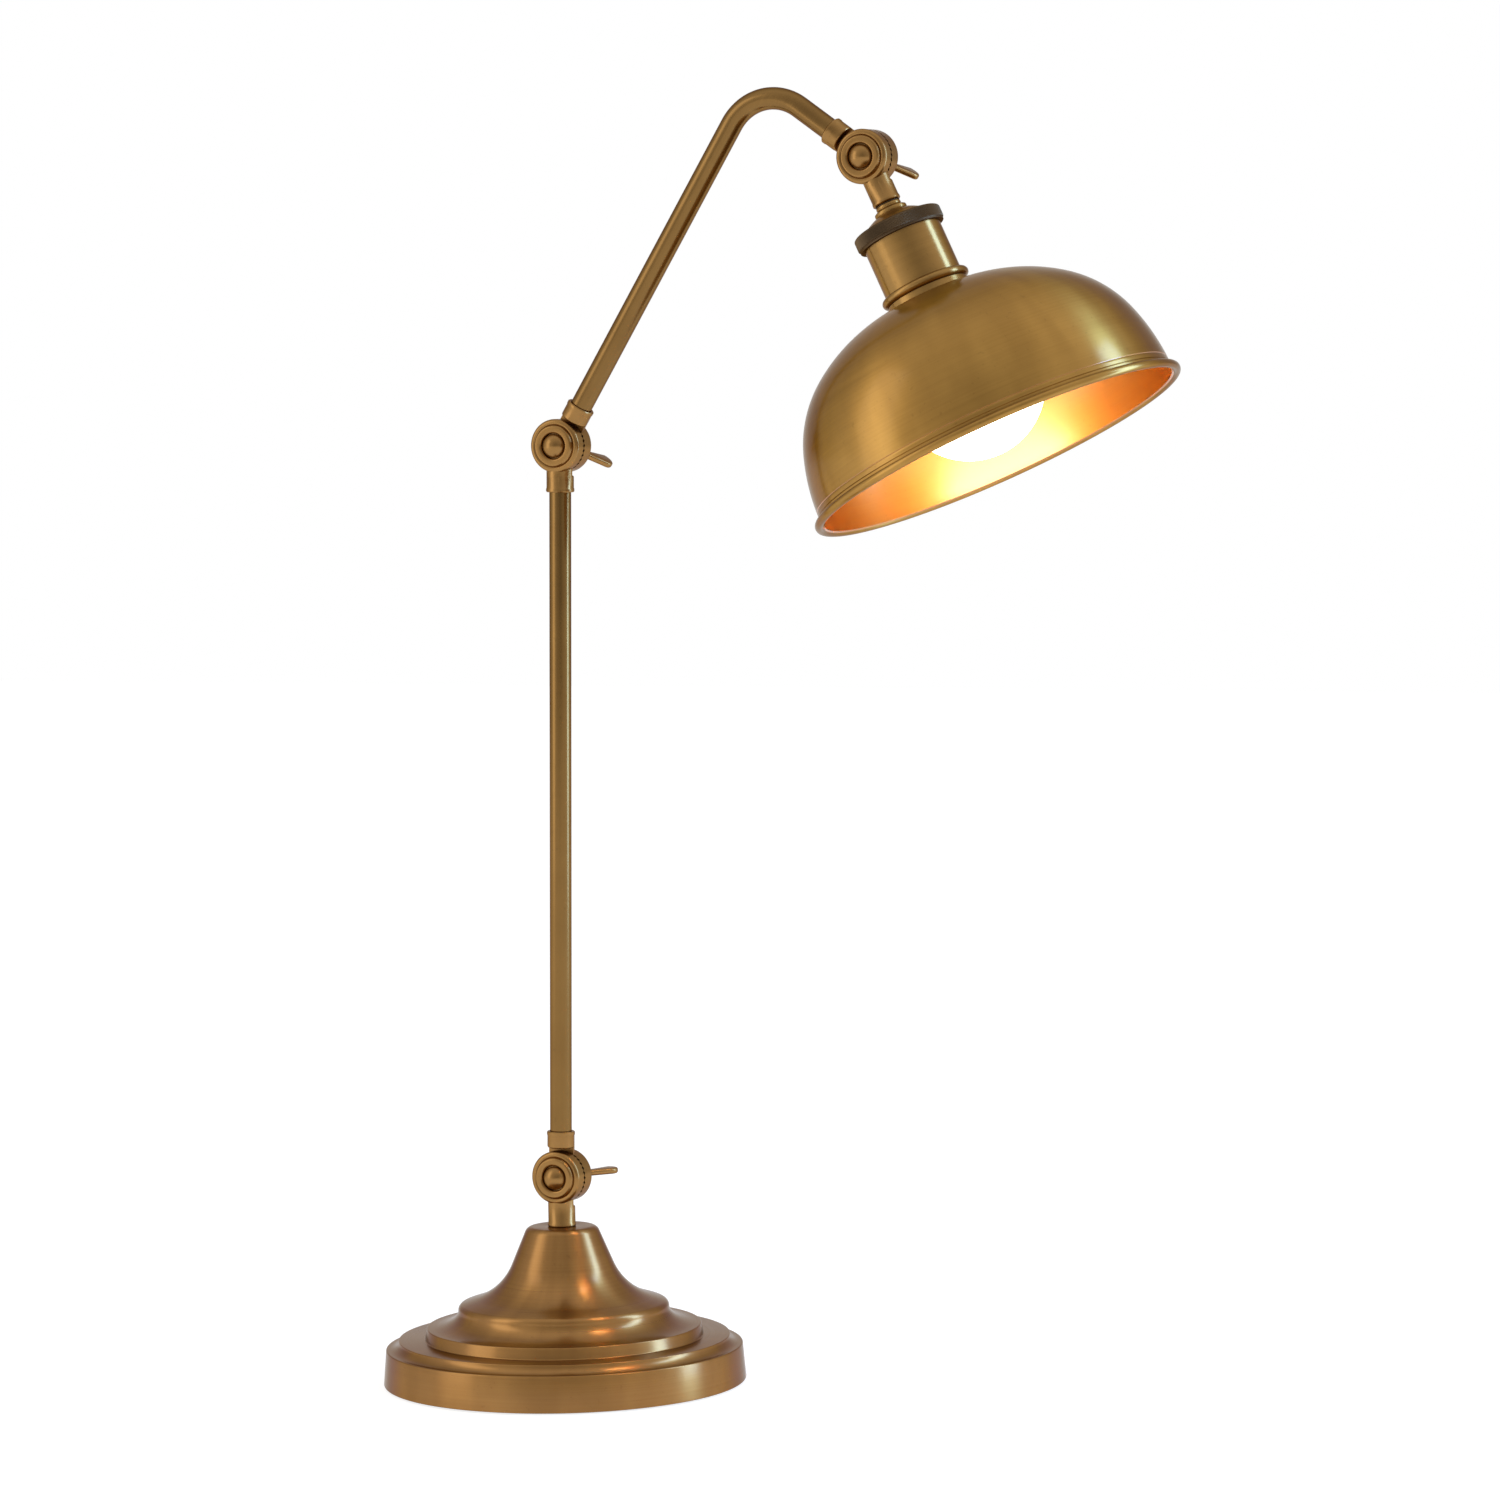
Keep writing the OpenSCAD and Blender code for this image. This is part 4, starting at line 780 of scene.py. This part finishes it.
def makeWingNut(name, pivot, turn, finish, body, node):
    w, bore = wing, knuckle["bore"]
    outline = [(bore, 0), (w["foot"], 0), (w["foot"], w["footHeight"]), (w["top"] + 0.5, w["waistHeight"]),
               (w["top"], w["hub"]), (bore, w["hub"])]
    nut = lathe(name, soften(outline, w["hubEdge"]), 64)
    for flip in (0, 180):
        blade = settle(makeBlade(name + "Blade"), Matrix.Rotation(radians(flip), 4, "Z"))
        cut(nut, blade, "UNION")
    settle(nut, standAt(pivot, turn) @ lieAt(Vector(), -1) @ Matrix.Translation((0, 0, nutSeat * mm)))
    finished(nut, finish, body, "antique_brass", node, angle=40)


# The body that holds the bolt, the nut's turn, the bolt's node, then washer and nut, each its body and node.
clamps = {
    "base": ("base", 0, "base_knuckle_bolt", ("base_washer", "base_knuckle_washer"),
             ("base_nut", "base_wing_nut")),
    "elbow": ("post", pose["elbowWing"], "elbow_bolt", ("elbow_clamp_washer", "elbow_washer"),
              ("elbow_nut", "elbow_wing_nut")),
    "head": ("head", pose["headWing"], "head_knuckle_bolt", ("head_washer", "head_knuckle_washer"),
             ("head_nut", "head_wing_nut")),
}
for joint, (host, turn, boltNode, washerNames, nutNames) in clamps.items():
    look, pivot = joint + "KnuckleBrass", pivots[joint]
    makeBolt(joint + "Bolt", pivot, look, host, boltNode)
    makeWasher(joint + "Washer", pivot, look, *washerNames)
    makeWingNut(joint + "WingNut", pivot, turn, look, *nutNames)

# The side that a half is on, its stem's angle and reach, and its joint, body and node.
halves = {
    "baseStemHalf": (-1, 180, pose["stemReach"], "base", "base", "base_knuckle_front"),
    "postFootHalf": (1, pose["postLean"], knuckle["collarReach"], "base", "post", "base_knuckle_back"),
    "postTopHalf": (-1, 180 + pose["postLean"], knuckle["collarReach"], "elbow", "post", "elbow_front"),
    "armFootHalf": (1, pose["armAngle"], knuckle["collarReach"], "elbow", "arm", "elbow_back"),
    "armTipHalf": (1, armEnd - 180, knuckle["collarReach"], "head", "arm", "head_knuckle_back"),
    "headStemHalf": (-1, 180 - pose["headTilt"], pose["stemReach"], "head", "head", "head_knuckle_front"),
}
for name, (side, angle, reach, joint, body, node) in halves.items():
    makeHalf(name, side, angle, pivots[joint], reach, joint + "KnuckleBrass", body, node)


tubeStart = knuckle["collarReach"] - knuckle["socket"] + tube["gap"]


def makePost():
    t = tube
    inside, low, high = t["radius"] - t["wall"], tubeStart, pose["postLength"] - tubeStart
    outline = [(inside, low), (t["radius"], low), (t["radius"], high), (inside, high)]
    post = lathe("postTube", soften(outline, t["edge"]), t["steps"])
    settle(post, postFrame)
    finished(post, "postBrassPaintedShade", "post", "antique_brass", "post_tube")


def makeArm():  # a circle drawn out, spun round the bend and drawn out again, then given its wall
    t, bend, turn = tube, pose["bendRadius"], radians(pose["armBend"])
    reach = bend * tan(turn / 2)
    straight = pose["armRun"] - reach
    clearSelection()
    bpy.ops.mesh.primitive_circle_add(vertices=t["steps"], radius=t["radius"] * mm,
                                      location=(0, 0, tubeStart * mm))
    arm = bpy.context.object
    arm.name = arm.data.name = "armTube"
    bpy.ops.object.mode_set(mode="EDIT")
    bpy.ops.mesh.select_all(action="SELECT")
    extrude((0, 0, (straight - tubeStart) * mm))
    bpy.ops.mesh.spin(steps=t["bendSteps"], angle=-turn, center=(bend * mm, 0, straight * mm), axis=(0, 1, 0))
    tip = (pose["armDrop"] - reach - tubeStart) * mm
    extrude(heading(pose["armBend"]) * tip)
    closeUp()
    bpy.ops.object.mode_set(mode="OBJECT")
    wall = arm.modifiers.new("wall", "SOLIDIFY")
    wall.thickness, wall.offset = t["wall"] * mm, -1
    bpy.ops.object.modifier_apply(modifier=wall.name)
    settle(arm, armFrame)
    finished(arm, "armBrassPaintedShade", "arm", "antique_brass", "arm_tube")


makePost()
makeArm()


# Drops are below the head's pivot, and each height is that piece's own, along the head's axis.
holder = {
    "hole": 5.05, "neckRadius": 6.4, "neckFlare": 0.5, "neckHeight": 0.8, "neckEdge": 0.4,
    "bossTop": 6.8, "bossFoot": 7.3, "bossHeight": 2.2, "bossLine": 0.3, "stepRadius": 9.0,
    "stepHeight": 1.0, "domeStart": 5.3, "domeRadius": 40.5, "domeSlope": 41,
    "capRadius": 20.9, "capHeight": 14.9, "capWall": 1.3, "capEdge": 0.5,
    "ringRadius": 24.5, "ringDrop": 39.2, "ringHeight": 8.1, "ringLip": 0.9,
    "ridges": 220, "ridgeDepth": 0.26,
    "shellRadius": 21.45, "shellWall": 1.0, "shellDrop": 75.0, "flange": 1.3, "flangeHeight": 1.2,
    "lip": 1.2, "shellEdge": 0.35, "skirtRadius": 19.05, "gap": 0.05,
    "beadRadius": 24.6, "beadHeight": 4.7, "collarHeight": 8.6, "collarNeck": 22.5, "collarFlare": 0.3,
}
neckFoot = pose["stemReach"] + holder["neckHeight"]
capFoot = neckFoot + holder["capHeight"]


def onHead(piece, finish, slot, node, angle=32):
    settle(piece, headFrame)
    finished(piece, finish, "head", slot, node, angle=angle)


# A thin spacer under the stem, in the dark ring brass so that it also stands in as painted shadow in the gap
# there.
def makeNeckRingAsShadowLine():
    h, top = holder, pose["stemReach"]
    outline = [(h["hole"], top), (h["neckRadius"], top), (h["neckRadius"] + h["neckFlare"], neckFoot),
               (h["hole"], neckFoot)]
    ring = lathe("neckRingShadowLine", soften(dropped(outline), h["neckEdge"]), 64)
    onHead(ring, "ringBrass", "dark_brass", "neck_ring")


def makeCap():  # a boss with a cut line round it, a step and a dome
    h = holder
    step, line = h["stepRadius"], h["bossLine"]
    boss, foot = neckFoot + h["bossHeight"], neckFoot + h["domeStart"]
    ledge = boss + h["stepHeight"]
    start, last = step + 0.3, radians(h["domeSlope"])
    first = asin(sin(last) - (h["capRadius"] - start) / h["domeRadius"])
    middle = (start - h["domeRadius"] * sin(first), foot + h["domeRadius"] * cos(first))
    dome = arc(middle, h["domeRadius"], degrees(first) - 90, degrees(last) - 90, 14)
    dome.append((h["capRadius"], capFoot))
    cutLine = [(h["bossFoot"] - line, boss - 3 * line), (h["bossFoot"] - 1.5 * line, boss - 2 * line),
               (h["bossFoot"] - line, boss - line)]
    stepSide = [(step - 0.15, ledge - 0.1), (step, ledge + 0.4),
                (step, foot - 0.5), (step - 0.25, foot - 0.2)]
    outside = ([(h["hole"], neckFoot), (h["bossTop"], neckFoot)] + cutLine + [(h["bossFoot"], boss)]
               + stepSide + dome)
    roof = foot + h["capWall"]
    hollow = dropped([(h["hole"], roof), (start, roof)]) + inset(dropped(dome), h["capWall"])[1:]
    cap = lathe("lampholderCap", soften(dropped(outside), h["capEdge"], loop=False) + hollow[::-1])
    onHead(cap, "headBrass", "antique_brass", "lampholder_cap", angle=40)


def makeKnurledRing():  # every other column of its side goes in
    h = holder
    r, a, b = h["ringRadius"], h["ringDrop"], h["ringDrop"] + h["ringHeight"]
    groove = b - h["ringLip"]
    inner, bore = h["capRadius"] + h["gap"], h["shellRadius"] + h["gap"]
    seat, recess = capFoot + h["flangeHeight"] + 3 * h["gap"], h["shellRadius"] + h["flange"] + 2 * h["gap"]
    top = [(inner, a), (r - 1.1, a), (r - 0.35, a + 0.45), (r, a + 1.0)]
    foot = [(r, groove - 1.1), (r - 0.3, groove - 0.6), (r - 0.75, groove - 0.3), (r - 0.9, groove)]
    lip = [(r - 0.65, groove + 0.2), (r - 0.65, b - 0.3), (r - 0.95, b)]
    inside = [(bore, b), (bore, seat), (recess, seat), (recess, capFoot), (inner, capFoot)]
    ring = lathe("knurledRing", dropped(top + foot + lip + inside), 2 * h["ridges"])
    bpy.ops.object.mode_set(mode="EDIT")
    side, shrink = (r - 0.5) * mm, 1 - h["ridgeDepth"] / r
    selectWhere(ring, 2 * h["ridges"], lambda co, column: column % 2 == 1 and hypot(co.x, co.y) > side)
    bpy.ops.transform.resize(value=(shrink, shrink, 1), center_override=(0, 0, 0))
    bpy.ops.object.mode_set(mode="OBJECT")
    onHead(ring, "ringBrass", "dark_brass", "knurled_ring", angle=20)


def makeShell():  # a flange under the cap, a straight side, and a lip turned in at its foot
    h = holder
    r, end, low = h["shellRadius"], h["shellDrop"], capFoot + h["gap"]
    inside, flange, lip = r - h["shellWall"], r + h["flange"], end - h["lip"]
    outline = [(inside, low), (flange, low), (flange, low + h["flangeHeight"]), (r, low + h["flangeHeight"]),
               (r, end), (h["skirtRadius"], end), (h["skirtRadius"], lip), (inside, lip)]
    shell = lathe("lampholderShell", soften(dropped(outline), h["shellEdge"]), 128)
    onHead(shell, "headBrass", "antique_brass", "lampholder_shell")


def makeShadeCollar():
    h = holder
    end, half, neck = h["shellDrop"], h["beadHeight"] / 2, h["collarNeck"]
    foot = end + h["collarHeight"]
    bead = arc((h["beadRadius"] - half, end + half), half, -90, 90, 12)
    waist = [(neck, end + h["beadHeight"] + 0.2), (neck + h["collarFlare"], foot)]
    outline = [(h["skirtRadius"], end)] + bead + waist + [(h["skirtRadius"], foot)]
    collar = lathe("shadeCollar", dropped(outline))
    onHead(collar, "headBrass", "antique_brass", "shade_collar")


makeNeckRingAsShadowLine()
makeCap()
makeKnurledRing()
makeShell()
makeShadeCollar()


# Three arcs, the crown, the shoulder and the side, meet at the two breaks, whose slopes are in degrees.
# Outer is over the rolled bead, and beadNeck is how far above and below its middle the two walls end.
# How far below the crown the inside's own finish starts is given too; that finish is the same brass in a
# deeper orange, a painted glow of the lit bulb.
shade = {
    "crownDrop": 83.6, "hole": 19.3, "crownRadius": 92, "crownBreak": 37.6, "shoulderRadius": 65,
    "sideBreak": 71.4, "sideRadius": 112, "sideSlope": 89, "outer": 104.8, "wall": 1.0,
    "beadRadius": 2.3, "beadLap": 0.6, "beadNeck": (2.2, 0.4), "skirt": 4,
    "grooves": (4.1, 7.0), "grooveDepth": 0.2, "grooveWidth": 0.3, "paintedGlowFrom": 0.9,
    "ringDrop": 1.58, "ringRadius": 26, "ringHole": 19.1, "ringHeight": 5, "ringEdge": 0.6, "steps": 192,
}


def shadePath():  # the outside from the crown to the skirt, the bead's centre, and the skirt's radius
    d = shade
    crownWay, sideWay, endWay = (Vector((sin(radians(d[k])), cos(radians(d[k]))))
                                 for k in ("crownBreak", "sideBreak", "sideSlope"))
    beadCentre = d["outer"] - d["beadRadius"]
    skirt = beadCentre - d["beadRadius"] + d["beadLap"]
    sideTop = skirt - d["sideRadius"] * (endWay.x - sideWay.x)
    crownStart = sideTop - d["shoulderRadius"] * (sideWay.x - crownWay.x)
    crown = Vector((crownStart - d["crownRadius"] * crownWay.x, -d["crownDrop"] - d["crownRadius"]))
    shoulder = crown + (d["crownRadius"] - d["shoulderRadius"]) * crownWay
    side = shoulder - (d["sideRadius"] - d["shoulderRadius"]) * sideWay
    first = max(0.5, degrees(asin((d["hole"] - crown.x) / d["crownRadius"])))
    path = arc(crown, d["crownRadius"], 90 - first, 90 - d["crownBreak"], 22)
    path += arc(shoulder, d["shoulderRadius"], 90 - d["crownBreak"], 90 - d["sideBreak"], 26)[1:]
    path += arc(side, d["sideRadius"], 90 - d["sideBreak"], 90 - d["sideSlope"], 20)[1:]
    return path, (beadCentre, path[-1][1] - d["skirt"]), skirt


def grooved(line, z):  # a fine spun line round the shade at a height, at the radius that the side has there
    width, depth = shade["grooveWidth"], shade["grooveDepth"]
    spare = width + 0.2
    i = next(i for i in range(1, len(line)) if line[i][1] < z + 1.5 * width)
    (ra, za), (rb, zb) = line[i - 1], line[i]
    r = ra + (rb - ra) * (z - za) / (zb - za)
    before, after = [p for p in line if p[1] > z + spare], [p for p in line if p[1] < z - spare]
    return before + [(r, z + width), (r - depth, z), (r, z - width)] + after


def makeShade():  # with its bead rolled outwards, and a painted lamp glow as the finish inside
    d = shade
    path, bead, skirt = shadePath()
    above, below = d["beadNeck"]
    line = path + [(skirt, bead[1] + above)]
    for up in d["grooves"]:
        line = grooved(line, bead[1] + up)
    roll = arc(bead, d["beadRadius"], 155, -150, 20)
    inner = inset(path + [(skirt, bead[1] - below)], d["wall"])[::-1]
    piece = lathe("shadeDome", line + roll + inner, d["steps"])
    onHead(piece, "shadeBrassPaintedLight", "antique_brass", "shade")
    piece.data.materials.append(finishes["shadeInsidePaintedGlow"])
    # The inside's faces get the deeper orange brass, the painted lamp glow.
    back = headFrame.inverted()
    turned = back.to_3x3()
    for face in piece.data.polygons:
        spot, normal = back @ face.center, turned @ face.normal
        inward = spot.x * normal.x + spot.y * normal.y < 0 or normal.z < -0.2
        deep = spot.z < -(d["crownDrop"] + d["paintedGlowFrom"]) * mm
        if inward and deep and hypot(spot.x, spot.y) < (skirt - 0.2) * mm:
            face.material_index = 1


def makeShadeRing():
    d = shade
    top, r, hole = d["crownDrop"] + d["ringDrop"], d["ringRadius"], d["ringHole"]
    foot = top + d["ringHeight"]
    outline = dropped([(hole, top), (r, top), (r, foot), (hole, foot)])
    ring = lathe("shadeNut", soften(outline, d["ringEdge"]))
    onHead(ring, "ceramic", "ceramic", "shade_ring")


makeShade()
makeShadeRing()


# Middle, neckTop and capEnd are drops below the head's pivot. The neck starts inside the bulb's cap.
bulb = {"radius": 40, "middle": 134.05, "neckRadius": 13.2, "neckTop": 76.3, "capEnd": 82.25,
        "inCap": 1.4, "flare": 0.8, "flareHeight": 3, "wall": 0.9, "globeArc": (52, -88), "steps": 128}


def makeBulb():
    b = bulb
    neck, tip = b["neckRadius"], b["middle"] + b["radius"]
    stem = dropped([(neck - b["inCap"], b["neckTop"]), (neck - b["inCap"], b["capEnd"]),
                    (neck, b["capEnd"] + 0.4), (neck + b["flare"], b["capEnd"] + b["flareHeight"])])
    globe = arc((0, -b["middle"]), b["radius"], *b["globeArc"], 40)
    inner = inset(stem + globe, b["wall"])[::-1]
    outline = stem + globe + [(0, -tip), (0, b["wall"] - tip)] + inner[1:]
    piece = lathe("globeBulb", outline, b["steps"])
    onHead(piece, "opalGlow", "opal_glass", "bulb_glass")


makeBulb()


kept = {
    "steel": "base_plate plate_screws base_rod rod_nut rod_washer cord_clamp clamp_screws head_rod cap_nut",
    "castIron": "base_weight", "felt": "felt_pad", "rubber": "cord_grommet",
    "ceramic": "terminal_block lampholder_core", "leadBraid": "base_lead post_lead arm_lead head_lead",
    "brightBrass": "screw_shell centre_contact terminal_screws bulb_cap", "blackGlass": "bulb_contact",
}
for look, names in kept.items():
    for node in names.split():
        for place in nodes[node].material_slots:
            place.material = finishes[look]
print("kept nodes have their finishes")
